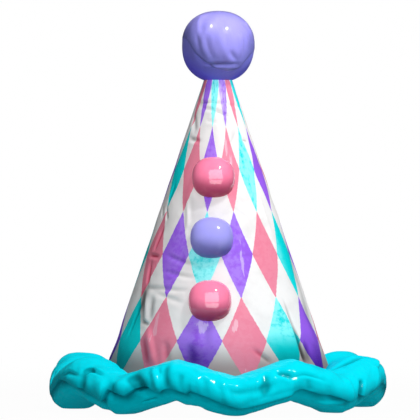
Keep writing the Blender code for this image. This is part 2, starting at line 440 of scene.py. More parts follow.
def points_of(mesh: bpy.types.Mesh) -> Array:
    """A mesh's vertices as an array of rows x, y, z."""
    flat = np.empty(len(mesh.vertices) * 3, np.float32)
    mesh.vertices.foreach_get("co", flat)
    return flat.reshape(-1, 3).astype(float)


@dataclass(frozen=True)
class Expr:
    """A number in a shader: a socket, with the operators that the finishes use."""

    maker: "NodeMaker"
    socket: bpy.types.NodeSocket

    def __add__(self, other: Number) -> "Expr":
        """The sum."""
        return self.maker.maths("ADD", self, other)

    def __radd__(self, other: float) -> "Expr":
        """The sum with a number on the left."""
        return self.maker.maths("ADD", other, self)

    def __sub__(self, other: Number) -> "Expr":
        """The difference."""
        return self.maker.maths("SUBTRACT", self, other)

    def __rsub__(self, other: float) -> "Expr":
        """A number less this value."""
        return self.maker.maths("SUBTRACT", other, self)

    def __mul__(self, other: Number) -> "Expr":
        """The product."""
        return self.maker.maths("MULTIPLY", self, other)

    def __rmul__(self, other: float) -> "Expr":
        """The product with a number on the left."""
        return self.maker.maths("MULTIPLY", other, self)

    def __truediv__(self, other: Number) -> "Expr":
        """The quotient."""
        return self.maker.maths("DIVIDE", self, other)

    def __mod__(self, other: Number) -> "Expr":
        """What is left after whole steps of the other value, from 0 up."""
        return self.maker.maths("FLOORED_MODULO", self, other)

    def __gt__(self, other: Number) -> "Expr":
        """1 where this value is above the other, else 0."""
        return self.maker.maths("GREATER_THAN", self, other)

    def __abs__(self) -> "Expr":
        """The size without the sign."""
        return self.maker.maths("ABSOLUTE", self)

    def floor(self) -> "Expr":
        """The whole number at or under this value."""
        return self.maker.maths("FLOOR", self)

    def nearest(self) -> "Expr":
        """The nearest whole number."""
        return self.maker.maths("ROUND", self)

    def sine(self) -> "Expr":
        """The sine of this value in radians."""
        return self.maker.maths("SINE", self)

    def rise(self, start: float, end: float) -> "Expr":
        """A smooth rise from 0 where this value is start to 1 where it is end."""
        made = self.maker.node(
            "ShaderNodeMapRange",
            {"interpolation_type": "SMOOTHSTEP"},
            {"Value": self, "From Min": start, "From Max": end},
        )
        return Expr(self.maker, made.outputs["Result"])


class NodeMaker:
    """Builds the nodes of one material, or of the world, from expressions."""

    def __init__(self, owner: Union[bpy.types.Material, bpy.types.World]) -> None:
        """Starts with the owner's own shader and output."""
        owner.use_nodes = True
        self.owner = owner
        self.tree = owner.node_tree

    def node(
        self,
        kind: str,
        settings: Mapping[str, Any] | None = None,
        inputs: Mapping[Union[str, int], Any] | None = None,
    ) -> bpy.types.Node:
        """Adds one node.

        Args:
            kind: the node's type.
            settings: its properties, set before its sockets.
            inputs: values or links for its sockets, by name or number.

        Returns:
            The node.
        """
        made = self.tree.nodes.new(kind)
        for key, value in (settings or {}).items():
            setattr(made, key, value)
        for key, value in (inputs or {}).items():
            self.feed(made.inputs[key], value)
        return made

    def feed(self, socket: bpy.types.NodeSocket, value: Any) -> None:
        """Links a socket to an expression or another socket, or sets its value."""
        if isinstance(value, Expr):
            value = value.socket
        if isinstance(value, bpy.types.NodeSocket):
            self.tree.links.new(value, socket)
        elif isinstance(value, tuple) and len(value) == 3 and socket.type == "RGBA":
            socket.default_value = (*value, 1.0)
        else:
            socket.default_value = value

    def maths(self, operation: str, *values: Number) -> Expr:
        """A Math node on expressions and numbers."""
        made = self.node("ShaderNodeMath", {"operation": operation}, dict(enumerate(values)))
        return Expr(self, made.outputs[0])

    def mix(self, factor: Number, first: Any, second: Any, blend: str = "MIX") -> Expr:
        """A Mix node on two colours."""
        made = self.node(
            "ShaderNodeMix",
            {"data_type": "RGBA", "blend_type": blend, "clamp_factor": True},
            {0: factor, 6: first, 7: second},
        )
        return Expr(self, made.outputs[2])

    def parts(self, vector: bpy.types.NodeSocket) -> tuple[Expr, Expr, Expr]:
        """The three numbers of a vector."""
        made = self.node("ShaderNodeSeparateXYZ", None, {0: vector})
        return tuple(Expr(self, output) for output in made.outputs)

    def joined(self, x: Number, y: Number, z: Number = 0.0) -> bpy.types.NodeSocket:
        """A vector of three numbers."""
        made = self.node("ShaderNodeCombineXYZ", None, {0: x, 1: y, 2: z})
        return made.outputs[0]

    def uv(self, name: str) -> bpy.types.NodeSocket:
        """The piece's own UV map of that name."""
        return self.node("ShaderNodeUVMap", {"uv_map": name}).outputs[0]

    def here(self) -> bpy.types.NodeSocket:
        """The point's place in the hat's frame, in metres."""
        return self.node("ShaderNodeTexCoord").outputs["Object"]

    def noise(
        self,
        place: bpy.types.NodeSocket,
        scale: float,
        detail: float = 2.0,
        stretch: tuple[float, float, float] = (1.0, 1.0, 1.0),
        roughness: float = 0.5,
    ) -> Expr:
        """Soft noise from 0 to 1 round 0.5, drawn out by a stretch of its coordinates."""
        drawn = self.node(
            "ShaderNodeMapping", {"vector_type": "POINT"}, {"Vector": place, "Scale": stretch}
        )
        made = self.node(
            "ShaderNodeTexNoise",
            {"noise_dimensions": "3D"},
            {"Vector": drawn.outputs[0], "Scale": scale, "Detail": detail, "Roughness": roughness},
        )
        return Expr(self, made.outputs["Fac"])

    def weave(self, flat: bpy.types.NodeSocket, thread: float) -> Expr:
        """The height of a plain weave, sin(x) sin(y), with threads of that width."""
        x, y, _ = self.parts(flat)
        step = math.pi / thread
        return (x * step).sine() * (y * step).sine()

    def times(self, colour: Any, factor: Number, shade: Colour) -> Expr:
        """A colour multiplied by a shade where the factor is 1."""
        return self.mix(factor, colour, shade, "MULTIPLY")

    def relief(self, *layers: tuple[Number, float]) -> bpy.types.NodeSocket:
        """A normal from one Bump after another, each of (height, metres for 1)."""
        normal = None
        for height, metres in layers:
            inputs = {"Height": height, "Distance": metres, "Strength": 1.0}
            if normal is not None:
                inputs["Normal"] = normal
            normal = self.node("ShaderNodeBump", None, inputs).outputs[0]
        return normal

    def shade(self, **inputs: Any) -> bpy.types.Material:
        """Feeds the sockets of the material's own shader, named with _ for a space."""
        shader = self.tree.nodes["Principled BSDF"]
        for key, value in inputs.items():
            self.feed(shader.inputs[key.replace("_", " ")], value)
        return self.owner


class Ink(Enum):
    """The print's three inks, each as (full, thin) colours in linear light."""

    CYAN = ((0.0, 0.72, 0.75), (0.30, 0.97, 0.99))
    PURPLE = ((0.325, 0.118, 0.83), (0.47, 0.32, 0.93))
    PINK = ((0.84, 0.235, 0.345), (0.92, 0.50, 0.62))


@dataclass(frozen=True)
class WornHighlight:
    """A spot where the print is worn and paler, partly wear and partly painted highlight, placed by
    its column and row among the diamonds.
    """

    column: float
    row: float
    half_width: float
    half_height: float


@dataclass(frozen=True)
class PrintedSatin:
    """White satin printed with harlequin diamonds, brushed on a little unevenly.

    Three tones multiply the cloth: a fold tone that is painted shade in its folds, a hem tone
    that is painted shade in a band just above the brim, and sewn, the stitches' own colour. In
    the folds a pink tone does so for the pink ink. The other inks there, and all the inks in the
    painted shade above the brim, are deepened by a (power, share). Folds darken over a band of
    depths in millimetres, and the painted shade above the brim ends over a band of heights. The
    thin ink of the front, partly uneven dye and partly painted reflection, starts and ends over
    two bands of columns.
    """

    white: Colour = (0.885, 0.872, 0.872)
    mottled: Colour = (0.72, 0.702, 0.70)
    rubbed_highlight_ink: Colour = (0.90, 0.86, 0.98)
    back: Colour = (0.80, 0.80, 0.80)
    painted_fold_shade: Colour = (0.13, 0.13, 0.13)
    painted_fold_shade_pink: Colour = (0.66, 0.08, 0.22)
    painted_fold_shade_ink: tuple[float, float] = (2.2, 0.42)
    painted_fold_shade_band: Band = (0.35, 4.0)
    hem_painted_shade: Colour = (0.35, 0.27, 0.265)
    hem_painted_shade_ink: tuple[float, float] = (1.6, 0.36)
    hem_painted_shade_band: Band = (0.033, 0.065)
    sewn: Colour = (0.72, 0.72, 0.74)
    front_start: Band = (-1.6, -0.8)
    front_end: Band = (2.2, 3.0)
    roughness: float = 0.40
    coat_roughness: float = 0.06
    specular: float = 0.04
    thread: float = 0.0006
    edge: float = 0.030
    spread: float = 0.0
    hem_slant: float = 0.0
    seam_margin: float = 0.0034
    stitch: float = 0.0032
    stitch_gap: float = 0.35
    yarn: Band = (0.0002, 0.0005)

    def ink(self, nodes: NodeMaker, kind: Ink, thin: Expr) -> Expr:
        """One ink's colour, from full to thin."""
        full, light = kind.value
        return nodes.mix(thin, full, light)

    def material(self) -> bpy.types.Material:
        """The cone's cloth.

        In the map named print, diamonds are the places where twice the distance from the
        nearest whole column and twice the distance from the middle of the row add up to
        less than 1. The ink's number is (size of the column + row mod 2) mod 3.

        Returns:
            The material.
        """
        nodes = NodeMaker(bpy.data.materials.new("cone_cloth"))
        flat = nodes.uv("flat")
        across, down, _ = nodes.parts(nodes.uv("print"))
        fold, _, _ = nodes.parts(nodes.uv("relief"))
        _, _, height = nodes.parts(nodes.here())
        inner = down > INNER_ROWS - 2.0
        wobble = (nodes.noise(flat, 420.0, 1.0) - 0.5) * 0.07
        column = across.nearest()
        row = down.floor()
        side = abs(across - column) * 2
        up = abs(down - row - 0.5) * 2
        printed = (1.03 - side - up + wobble).rise(0.0, self.edge)
        number = (abs(column) + row % 2.0) % 3.0
        pink = number > 1.5
        shift = nodes.joined(across + column * 7.3, down + row * 3.1)
        mottle = nodes.noise(flat, 55.0, 3.0)
        strokes = nodes.noise(shift, 1.0, 3.0, (7.0, 3.0, 1.0), 0.6)
        # Rubbed strokes and spots: worn print that is glossier and paler, the paler colour partly
        # painted highlight
        rubbed = (strokes + self.wear_and_sheen(nodes, across, down) * 0.30).rise(0.700, 0.725)
        # Painted shade in the folds, from each fold's depth times its shade
        painted_fold_shade = fold.rise(*self.painted_fold_shade_band)
        # Painted shade: the cloth and inks darken toward the brim, with a mottled edge
        hem_painted_shade = 1.0 - (height + (mottle - 0.5) * 0.010).rise(*self.hem_painted_shade_band)
        ink = nodes.mix(
            rubbed * 0.24, self.inks(nodes, across, down, shift, number), self.rubbed_highlight_ink
        )
        inside = nodes.mix(printed * 0.30, self.back, ink)
        ink = self.deepened(nodes, ink, painted_fold_shade * (1.0 - pink), *self.painted_fold_shade_ink)
        ink = nodes.times(ink, painted_fold_shade * pink, self.painted_fold_shade_pink)
        ink = self.deepened(nodes, ink, hem_painted_shade * (1.0 - pink * 0.6), *self.hem_painted_shade_ink)
        cloth = nodes.mix(mottle.rise(0.42, 0.75) * 0.5, self.white, self.mottled)
        cloth = nodes.times(cloth, painted_fold_shade, self.painted_fold_shade)
        cloth = nodes.times(cloth, hem_painted_shade, self.hem_painted_shade)
        outside = nodes.mix(printed, cloth, ink)
        stitches = self.stitches(nodes, flat)
        weave = nodes.weave(flat, self.thread)
        slub = nodes.noise(flat, 260.0, 3.0)
        gloss = nodes.noise(flat, 38.0, 2.0)
        return nodes.shade(
            Base_Color=nodes.times(nodes.mix(inner, outside, inside), stitches, self.sewn),
            Roughness=self.roughness - printed * 0.07 + (gloss - 0.5) * 0.16,
            Coat_Weight=(1.0 - inner) * (rubbed * printed * 0.5 + 0.02),
            Coat_Roughness=self.coat_roughness,
            Specular_IOR_Level=self.specular,
            Normal=nodes.relief((slub, 0.00012), (weave, 0.00004), (stitches, -0.0002)),
        )

    def inks(
        self,
        nodes: NodeMaker,
        across: Expr,
        down: Expr,
        shift: bpy.types.NodeSocket,
        number: Expr,
    ) -> Expr:
        """The ink of each diamond, laid on thin in blotches over the front, partly as uneven dye
        and partly as painted reflection.

        Purple is thinner still in a patch under the ball, also partly painted reflection, and full
        where the cone lies both below that patch and to the right of it.

        Args:
            nodes: the material's nodes.
            across: the count of diamonds round the cone.
            down: the count of diamonds down the cone.
            shift: the place in the print, moved on from one diamond to the next.
            number: 0 for cyan, 1 for purple and 2 for pink.

        Returns:
            The colour.
        """
        wash = nodes.noise(shift, 1.0, 2.0, (1.7, 1.7, 1.0))
        blotch = nodes.noise(shift, 1.0, 3.0, (6.0, 15.0, 1.0), 0.6)
        # Thin ink over the front: partly uneven dye, partly painted reflection
        wear_and_sheen = across.rise(*self.front_start) * (1.0 - across.rise(*self.front_end))
        wear_and_sheen = wear_and_sheen * (1.0 - across.rise(1.0, 1.8) * down.rise(3.30, 3.62))
        uneven = wash * 0.5 + blotch * 0.6
        thin = uneven.rise(0.46, 0.62) * wear_and_sheen
        # A paler purple patch under the ball, partly painted reflection
        patch = across.rise(0.40, 0.60) * (1.0 - across.rise(1.25, 1.45) - down.rise(0.75, 1.0))
        patch = patch * blotch.rise(0.35, 0.60)
        cyan = self.ink(nodes, Ink.CYAN, uneven.rise(0.38, 0.62) * wear_and_sheen)
        purple = self.ink(nodes, Ink.PURPLE, thin * 0.40 + patch * 0.8)
        pink = self.ink(nodes, Ink.PINK, thin * 0.10)
        return nodes.mix(number > 1.5, nodes.mix(number > 0.5, cyan, purple), pink)

    def stitches(self, nodes: NodeMaker, flat: bpy.types.NodeSocket) -> Expr:
        """1 on the stitches and 0 beside them.

        On the sector that the cone is cut from, one row of stitches runs round at the
        slant of the hem's turned edge and one runs down beside each edge of the sector.
        A stitch covers all of its step of the row but the gap at the start.
        """
        x, y, _ = nodes.parts(flat)
        slant = nodes.maths("SQRT", x * x + y * y)
        turn = nodes.maths("ARCTAN2", x, y * -1.0)
        beside = (self.spread / 2 - abs(turn)) * slant
        round_hem = 1.0 - abs(slant - self.hem_slant).rise(*self.yarn)
        down_seam = 1.0 - abs(beside - self.seam_margin).rise(*self.yarn)
        hem_step = turn * (self.hem_slant / self.stitch)
        round_hem = round_hem * (hem_step % 1.0 > self.stitch_gap)
        down_seam = down_seam * (slant / self.stitch % 1.0 > self.stitch_gap)
        return nodes.maths("MAXIMUM", round_hem, down_seam)

    def wear_and_sheen(self, nodes: NodeMaker, across: Expr, down: Expr) -> Expr:
        """1 in the middle of each rub and 0 outside it.

        It is the sum of 1 - x2 - y2 over the rubs, with x2 and y2 the squared shares of
        the way to their edge.
        """
        total = None
        for pale_spot in WORN_HIGHLIGHTS:
            x = (across - pale_spot.column) / pale_spot.half_width
            y = (down - pale_spot.row) / pale_spot.half_height
            inside = nodes.maths("MAXIMUM", 1.0 - x * x - y * y, 0.0)
            total = inside if total is None else total + inside
        return total

    def deepened(
        self, nodes: NodeMaker, ink: Expr, factor: Expr, power: float, share: float
    ) -> Expr:
        """The ink where the factor is 0 and a share of its power where it is 1.

        The power makes it darker and stronger in colour, for the painted shade in folds and above
        the brim.
        """
        painted_shade_tone = nodes.node("ShaderNodeGamma", None, {"Color": ink, "Gamma": power}).outputs[0]
        return nodes.mix(factor, ink, nodes.times(painted_shade_tone, 1.0, (share,) * 3))


@dataclass(frozen=True)
class StuffedSatin:
    """Glossy satin drawn over filling, an upper cloth whose edge hangs over a lower one.

    The colour is that far above the edge. The other tones are painted shade and painted
    shadow: edge is the upper cloth's at its edge, the shadow tone the lower cloth's right under
    it, and under the lower cloth's away from it, over a reach in degrees. Folds darken toward a
    fold tone over depths in millimetres, by fold_shade at most, as painted shade. The gloss stops
    in the band named bare, in degrees above the edge.
    """

    name: str
    colour: Colour
    edge: Colour
    shadow_under_edge: Colour
    under: Colour
    reach: float
    fold_shade: float
    roughness: float
    specular: float
    tint: Colour
    coat: float
    coat_roughness: float
    bare: Band
    painted_fold_shade: Colour = (0.15, 0.15, 0.15)
    painted_fold_shade_band: Band = (0.2, 2.6)
    fibres: Colour = (0.86, 0.86, 0.86)
    thread: float = 0.0005

    def material(self, weave_map: str | None) -> bpy.types.Material:
        """The stuffed piece's cloth.

        Args:
            weave_map: the UV map in metres that the weave follows, or None for a weave
                on the piece's own place.

        Returns:
            The material.
        """
        nodes = NodeMaker(bpy.data.materials.new(self.name))
        here = nodes.here()
        fold, above, _ = nodes.parts(nodes.uv("relief"))
        mottle = nodes.noise(here, 60.0, 3.0)
        fibre = nodes.noise(here, 90.0, 3.0, (1.0, 1.0, 0.12), 0.6)
        # Painted shade and shadow: the upper satin darkens toward its edge, the lower satin is
        # darkest right under it and has a darker tone of its own
        near = 1.0 - abs(above + (mottle - 0.5) * 8.0).rise(0.0, self.reach)
        upper = nodes.mix(near, self.colour, self.edge)
        lower = nodes.mix(near, self.under, self.shadow_under_edge)
        colour = nodes.mix(above.rise(-1.5, 1.5), lower, upper)
        painted_fold_shade = fold.rise(*self.painted_fold_shade_band) * self.fold_shade
        colour = nodes.times(colour, painted_fold_shade, self.painted_fold_shade)
        colour = nodes.times(colour, fibre.rise(0.45, 0.75) * 0.3, self.fibres)
        glazed = above.rise(-2.0, 8.0) * (1.0 - above.rise(*self.bare))
        flat = here if weave_map is None else nodes.uv(weave_map)
        slub = nodes.noise(flat, 300.0, 3.0)
        layers = [(slub, 0.00012), (fibre, 0.0005)]
        if weave_map is not None:
            layers.append((nodes.weave(flat, self.thread), 0.00003))
        return nodes.shade(
            Base_Color=colour,
            Roughness=self.roughness + (mottle - 0.5) * 0.14,
            Specular_IOR_Level=self.specular,
            Specular_Tint=(*self.tint, 1.0),
            Coat_Weight=glazed * (0.6 + mottle * 0.8) * self.coat,
            Coat_Roughness=self.coat_roughness,
            Normal=nodes.relief(*layers),
        )


@dataclass(frozen=True)
class GlossBall:
    """Moulded glossy plastic with the faintest ripple and rubbed spots.

    The colour darkens from the top down to a shade tone at the bottom, painted shade. The glaze
    starts over the band named glazed, in half heights above the middle.
    """

    name: str
    colour: Colour
    painted_shade_tone: Colour
    roughness: float
    coat: float
    coat_roughness: float
    specular: float = 0.05
    glazed: Band = (-0.55, -0.30)

    def material(self, centre: float, half: float) -> bpy.types.Material:
        """The button's plastic.

        Args:
            centre: the height of the button's middle.
            half: half the button's height.

        Returns:
            The material.
        """
        nodes = NodeMaker(bpy.data.materials.new(self.name))
        here = nodes.here()
        _, _, height = nodes.parts(here)
        swirl = nodes.noise(here, 70.0, 3.0)
        rubbed = nodes.noise(here, 420.0, 3.0)
        # Painted shade: darker from the top down to the shade tone
        lit = (height + (swirl - 0.5) * 0.003).rise(centre - half, centre + half * 0.3)
        colour = nodes.mix(lit, self.painted_shade_tone, self.colour)
        colour = nodes.mix(swirl.rise(0.5, 0.8) * 0.04, colour, WHITE)
        glazed = height.rise(*(centre + half * share for share in self.glazed))
        return nodes.shade(
            Base_Color=colour,
            Roughness=self.roughness + (rubbed - 0.5) * 0.06,
            Specular_IOR_Level=self.specular,
            Coat_Weight=(glazed * 0.9 + 0.1) * self.coat,
            Coat_Roughness=self.coat_roughness,
            Normal=nodes.relief((swirl, 0.00008), (rubbed, 0.000004)),
        )


@dataclass(frozen=True)
class Crown:
    """The hollow cone of printed satin, turned up inside at its hem.

    Its outer side has the radius (apex height - z) slope, less the relief of its folds.
    """

    head_opening: float = 0.187
    cloth: float = 0.002
    slope: float = 0.337
    tip_rounding: float = 0.0055
    hem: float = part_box("crown_cone")[0].z
    tip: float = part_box("crown_cone")[1].z
    smooth_hem: Band = (0.020, 0.034)
    smooth_tip: Band = (0.264, 0.258)
    smooth_button: Band = (0.0175, 0.023)
    smooth_seam: Band = (0.001, 0.006)
    columns: int = 320
    outer_rows: int = 190
    inner_rows: int = 84
    diamond_columns: int = 14
    diamond_turn: float = -5.5
    diamond_top: float = 0.2933
    diamond_height: float = 0.0676
    hem_turning: float = 0.012
    hem_doubling: float = 0.0006
    hem_stitches_inset: float = 0.0025
    hem_rows: int = 7
    cap_rows: int = 10
    cap_ends: Band = (0.12, 0.94)
    inner_cap_width: float = 0.72
    welt: float = 0.0007
    welt_half_width: float = 0.0016
    groove: float = 0.0005
    groove_half_width: float = 0.0005

    @property
    def lean(self) -> float:
        """The angle between the cone's side and its axis, in radians."""
        return math.atan(self.slope)

    @property
    def seam_gap(self) -> float:
        """The clearance from the cone's side, measured level."""
        return SEAM_GAP / math.cos(self.lean)

    @property
    def shoulder(self) -> float:
        """The height where the rounded tip starts."""
        return self.tip - self.tip_rounding

    @property
    def first_angle(self) -> float:
        """The angle of the back seam, where the columns start."""
        return self.diamond_turn - 180

    @property
    def apex(self) -> float:
        """The height where the straight sides would meet."""
        hem_radius = self.head_opening / 2 + self.cloth / math.cos(self.lean)
        return self.hem + hem_radius / self.slope

    def straight_radius(self, height: Array) -> Array:
        """The radius of the outer side before its folds."""
        return (self.apex - height) * self.slope

    def relief(self, angle: Array, height: Array, shaded: bool = False) -> Array:
        """How deep the cloth lies under the straight cone, with angles in degrees.

        Folds and ripples fade out at the hem, at the tip and beside each button, and a
        low welt with a groove in its middle stands at the back seam. With shaded, folds
        count with their shades, as the painted shade in the folds uses them.
        """
        straight = self.straight_radius(height)
        climb = 1 / math.cos(self.lean)
        depth = relief_of(CONE_FOLDS, angle, height, straight, climb, shaded)
        depth = depth + CONE_RIPPLES.relief(np.radians(angle), height * climb / 0.05)
        for button in BUTTONS:
            away = np.hypot(np.radians(turn_between(angle, 0.0)) * straight, height - button.height)
            depth = depth * smooth_step(away, *self.smooth_button)
        seam = np.radians(turn_between(angle, self.diamond_turn + 180)) * straight
        welt = self.welt * np.exp(-((seam / self.welt_half_width) ** 2))
        groove = self.groove * np.exp(-((seam / self.groove_half_width) ** 2))
        depth = depth * smooth_step(np.abs(seam), *self.smooth_seam) - (welt - groove)
        return depth * smooth_step(height, *self.smooth_hem) * smooth_step(height, *self.smooth_tip)

    def outer_radius(self, angle: Array, height: Array) -> Array:
        """The radius of the folded outer side, with angles in degrees."""
        return self.straight_radius(height) - self.relief(angle, height)

    def profile(self) -> tuple[Array, Array]:
        """Each row's inset from the outer side, and its height.

        The rows run from the rounded tip down, round the hem and up the inner side.
        """
        wall = self.cloth / math.cos(self.lean)
        low = self.hem + self.cloth / 2
        outer = np.linspace(self.shoulder, low, self.outer_rows)
        turn = np.linspace(0.0, math.pi, self.hem_rows + 2)[1:-1]
        inner = np.linspace(low, self.shoulder - self.cloth, self.inner_rows)
        inset = np.concatenate(
            [np.zeros(len(outer)), wall * (1 - np.cos(turn)) / 2, np.full(len(inner), wall)]
        )
        height = np.concatenate([outer, outer[-1] - self.cloth / 2 * np.sin(turn), inner])
        return inset, height

    def cap(self, width: float, lower: float) -> Array:
        """The rounded tip's rows from the axis down, (radius s, tip - rounding s^3).

        Args:
            width: the share of the outer side's radius that they have.
            lower: how far they lie under the outer side.

        Returns:
            Their radius and their height, each as rows x columns.
        """
        s = np.linspace(*self.cap_ends, self.cap_rows)
        radius = self.straight_radius(self.shoulder) * s * width
        height = self.tip - self.tip_rounding * s**3 - lower
        return np.repeat(np.stack([radius, height])[:, :, None], self.columns, axis=2)

    def points(self) -> tuple[Array, Array]:
        """The grid of points and its two poles.

        The inner side runs up again, so its tip's rows are turned round. A hem turned up
        inside doubles the cloth there.
        """
        inset, height = self.profile()
        angle = around(self.columns, self.first_angle)
        z, phi = np.meshgrid(height, angle, indexing="ij")
        radius = self.outer_radius(phi, z) - inset[:, None]
        inside = np.arange(len(inset)) >= self.outer_rows + self.hem_rows
        hem_edge = self.hem + self.hem_turning
        turned = 1 - smooth_step(z, hem_edge - self.hem_doubling, hem_edge + self.hem_doubling)
        turned = turned * smooth_step(z, self.hem + 0.0008, self.hem + 0.003)
        radius = radius - np.where(inside[:, None], self.hem_doubling * turned, 0.0)
        outer_cap = self.cap(1.0, 0.0)
        inner_cap = self.cap(self.inner_cap_width, self.cloth)[:, ::-1]
        radius, z = np.concatenate([outer_cap, np.stack([radius, z]), inner_cap], axis=1)
        grid = placed(radius, np.radians(angle), z)
        return grid, np.array([[0, 0, self.tip], [0, 0, self.tip - self.cloth]])

    def maps(self, grid: Array) -> dict[str, Array]:
        """The UV maps of the grid.

        The map named print counts the diamonds round and down the cone, from INNER_ROWS
        on the inner side. The map named flat is the cloth as it was cut, a sector: a point
        at slant s from the apex and turn phi lies at s (sin, cos)(phi sin lean). The map
        named relief holds the folds' depth times their shades on the outer side, in millimetres,
        which darkens the cloth in its folds as painted shade.
        """
        z = closed(grid[:, :, 2])
        turn = np.broadcast_to(around(self.columns, self.first_angle, more=1), z.shape)
        column = (turn - self.diamond_turn) * self.diamond_columns / 360
        rows_outside = self.cap_rows + self.outer_rows
        inside = np.arange(len(z))[:, None] >= rows_outside + (self.hem_rows + 1) // 2
        row = (self.diamond_top - z) / self.diamond_height + np.where(inside, INNER_ROWS, 0.0)
        slant = (self.apex - z) / math.cos(self.lean)
        spread = np.radians(turn) * math.sin(self.lean)
        flat = np.stack([slant * np.sin(spread), -slant * np.cos(spread)], axis=2)
        depth = 1000 * self.relief(turn, z, shaded=True)
        depth[rows_outside:] = 0
        relief = np.stack([depth, np.zeros_like(depth)], axis=2)
        return {"print": np.stack([column, row], axis=2), "flat": flat, "relief": relief}

    def build(self) -> bpy.types.Object:
        grid, poles = self.points()
        mesh = woven_mesh("crown", grid, self.maps(grid), poles=poles)
        slant = (self.apex - self.hem) / math.cos(self.lean)
        spread = 2 * math.pi * math.sin(self.lean)
        stitches_up = self.hem_turning - self.hem_stitches_inset
        hem_slant = slant - stitches_up / math.cos(self.lean)
        cloth = PrintedSatin(spread=spread, hem_slant=hem_slant)
        piece = add_piece("crown", mesh, cloth.material())
        place_in_hat(piece, "crown_cone")
        area = spread * slant**2 / 2
        width = 2 * slant * math.sin(spread / 2)
        LOG.info("cut: sector of %.4f m over %.1f degrees", slant, math.degrees(spread))
        return piece


@dataclass(frozen=True)
class Brim:
    """The stuffed satin tube sewn round the hem, in a ring with eight waves.

    Its full section is that of a superellipse: the outward and upward parts are the
    signed powers 2 / fullness of the section angle's cosine and sine. Reaches, steps and
    bands are in degrees.
    """

    crown: Crown
    radius: float = 0.116
    half_width: float = 0.0193
    half_height: float = 0.0161
    fullness: float = 2.25
    waves: int = 8
    wave: float = 0.0062
    wave_sharpness: float = 0.99
    trough: float = 11.6
    sink: float = 0.0006
    drawn_in: float = 0.0015
    overhang: float = 0.0013
    overhang_reach: float = 24.0
    undercut: float = 0.0030
    undercut_reach: float = 34.0
    lip_step: float = 1.9
    lip_behind: float = -19.0
    front_right: Band = (76.0, 98.0)
    front_left: Band = (62.0, 84.0)
    smooth_inside: Band = (160.0, 120.0)
    pleats: int = 84
    pleat: float = 0.0007
    pleats_band: Band = (112.0, 150.0)
    sole: float = 0.0012
    settling: float = 0.0002
    sewn_within: float = 0.0012
    crowding: float = 0.7
    columns: int = 640
    rows: int = 112

    def middle(self, turn: Array) -> Array:
        """The height of the tube's middle, with the turn from a trough in radians.

        The wave is asin(s cos(8 turn)) / asin(s), a rounded zigzag.
        """
        s = self.wave_sharpness
        wave = np.arcsin(s * np.cos(self.waves * turn)) / math.asin(s)
        return self.half_height - self.sink + self.wave * (1 - wave)

    def lip(self, angle: Array) -> Array:
        """The section angle of the fold where the full upper roll hangs over the lower side.

        In front it follows BRIM_LIP, and behind it swings round one angle in two waves.
        """
        places = np.array(BRIM_LIP, float)
        front = np.interp(angle, places[:, 0], places[:, 1])
        turn = np.radians(angle)
        behind = self.lip_behind + 6 * np.sin(8 * turn + 0.6) + 4 * np.sin(5 * turn)
        right = smooth_step(angle, *self.front_right)
        blend = np.maximum(right, smooth_step(-angle, *self.front_left))
        return front + (behind - front) * blend

    def overhang_relief(self, angle: Array, section: Array) -> Array:
        """How deep the roll lies because of its overhang.

        With t the degrees from the lip, the roll swells above it by the overhang times
        exp(-(t / overhang reach)^2). Under it the cloth lies deeper by the undercut times
        exp(-(t / undercut reach)^2), and a smooth step joins the two. Behind, both are low.
        """
        t = section - self.lip(angle)
        above = -self.overhang * np.exp(-((np.maximum(t, 0) / self.overhang_reach) ** 2))
        under = self.undercut * np.exp(-((np.minimum(t, 0) / self.undercut_reach) ** 2))
        step = smooth_step(t, -self.lip_step, self.lip_step)
        lower_behind = 1 - 0.92 * smooth_step(np.abs(angle - 5), 58, 84)
        return (under + (above - under) * step) * lower_behind

    def row_turns(self) -> Array:
        """The rows' degrees from the lip.

        With w from 1 to -1 down the rows, they are 180 (w - crowding sin(pi w) / pi),
        which crowds the rows near the lip.
        """
        w = 1 - 2 * (np.arange(self.rows) + 0.5) / self.rows
        return 180 * (w - self.crowding * np.sin(math.pi * w) / math.pi)

    def outside(self, section: Array) -> Array:
        """1 on the outer side of the tube and 0 on the side at the cone."""
        return smooth_step(np.abs(turn_between(section, 0.0)), *self.smooth_inside)

    def relief(self, angle: Array, section: Array, shaded: bool = False) -> Array:
        """How deep the folds and ripples lie, which leave the inner side smooth."""
        ring = np.full_like(section, self.radius + self.half_width)
        climb = math.radians(self.half_width)
        depth = relief_of(BRIM_FOLDS, angle, section, ring, climb, shaded)
        for ripples in (BRIM_RIPPLES, BRIM_CRINKLES):
            depth = depth + ripples.relief(np.radians(angle), np.radians(section))
        return depth * self.outside(section)

    def sections(self, angle: Array) -> Array:
        """The section angle of each row and column, with rows that follow the lip.

        It is t + lip (1 - (t / 180)^2)^2, with t from row_turns.
        """
        t = self.row_turns()
        near = (1 - (t / 180) ** 2) ** 2
        return t[:, None] + near[:, None] * self.lip(angle)[None, :]

    def points(self) -> Array:
        """The grid of points: rows run down the outer side and columns round the hat."""
        angle = around(self.columns)
        sec = self.sections(angle)
        phi = np.broadcast_to(angle, sec.shape)
        turn = np.radians(phi - self.trough)
        middle = self.middle(turn)
        inward = self.radius - self.crown.straight_radius(middle) + self.drawn_in
        cosine, sine = rounded(np.radians(sec), self.fullness)
        width = np.where(cosine > 0, self.half_width, inward)
        depth = self.relief(phi, sec) + self.overhang_relief(phi, sec) * self.outside(sec)
        depth = depth + self.gathers(phi, sec)
        radius = self.radius + (width - depth) * cosine
        height = middle + (self.half_height - depth) * sine
        return self.seated(radius, height, np.radians(phi))

    def gathers(self, angle: Array, section: Array) -> Array:
        """The small pleats where the tube is sewn to the cone, fading outward."""
        turn = np.radians(angle)
        near = smooth_step(section, *self.pleats_band)
        uneven = 0.6 + 0.4 * np.sin(turn * 11)
        waves = np.sin(turn * self.pleats + 1.5 * np.sin(turn * 17))
        return self.pleat * near * uneven * waves

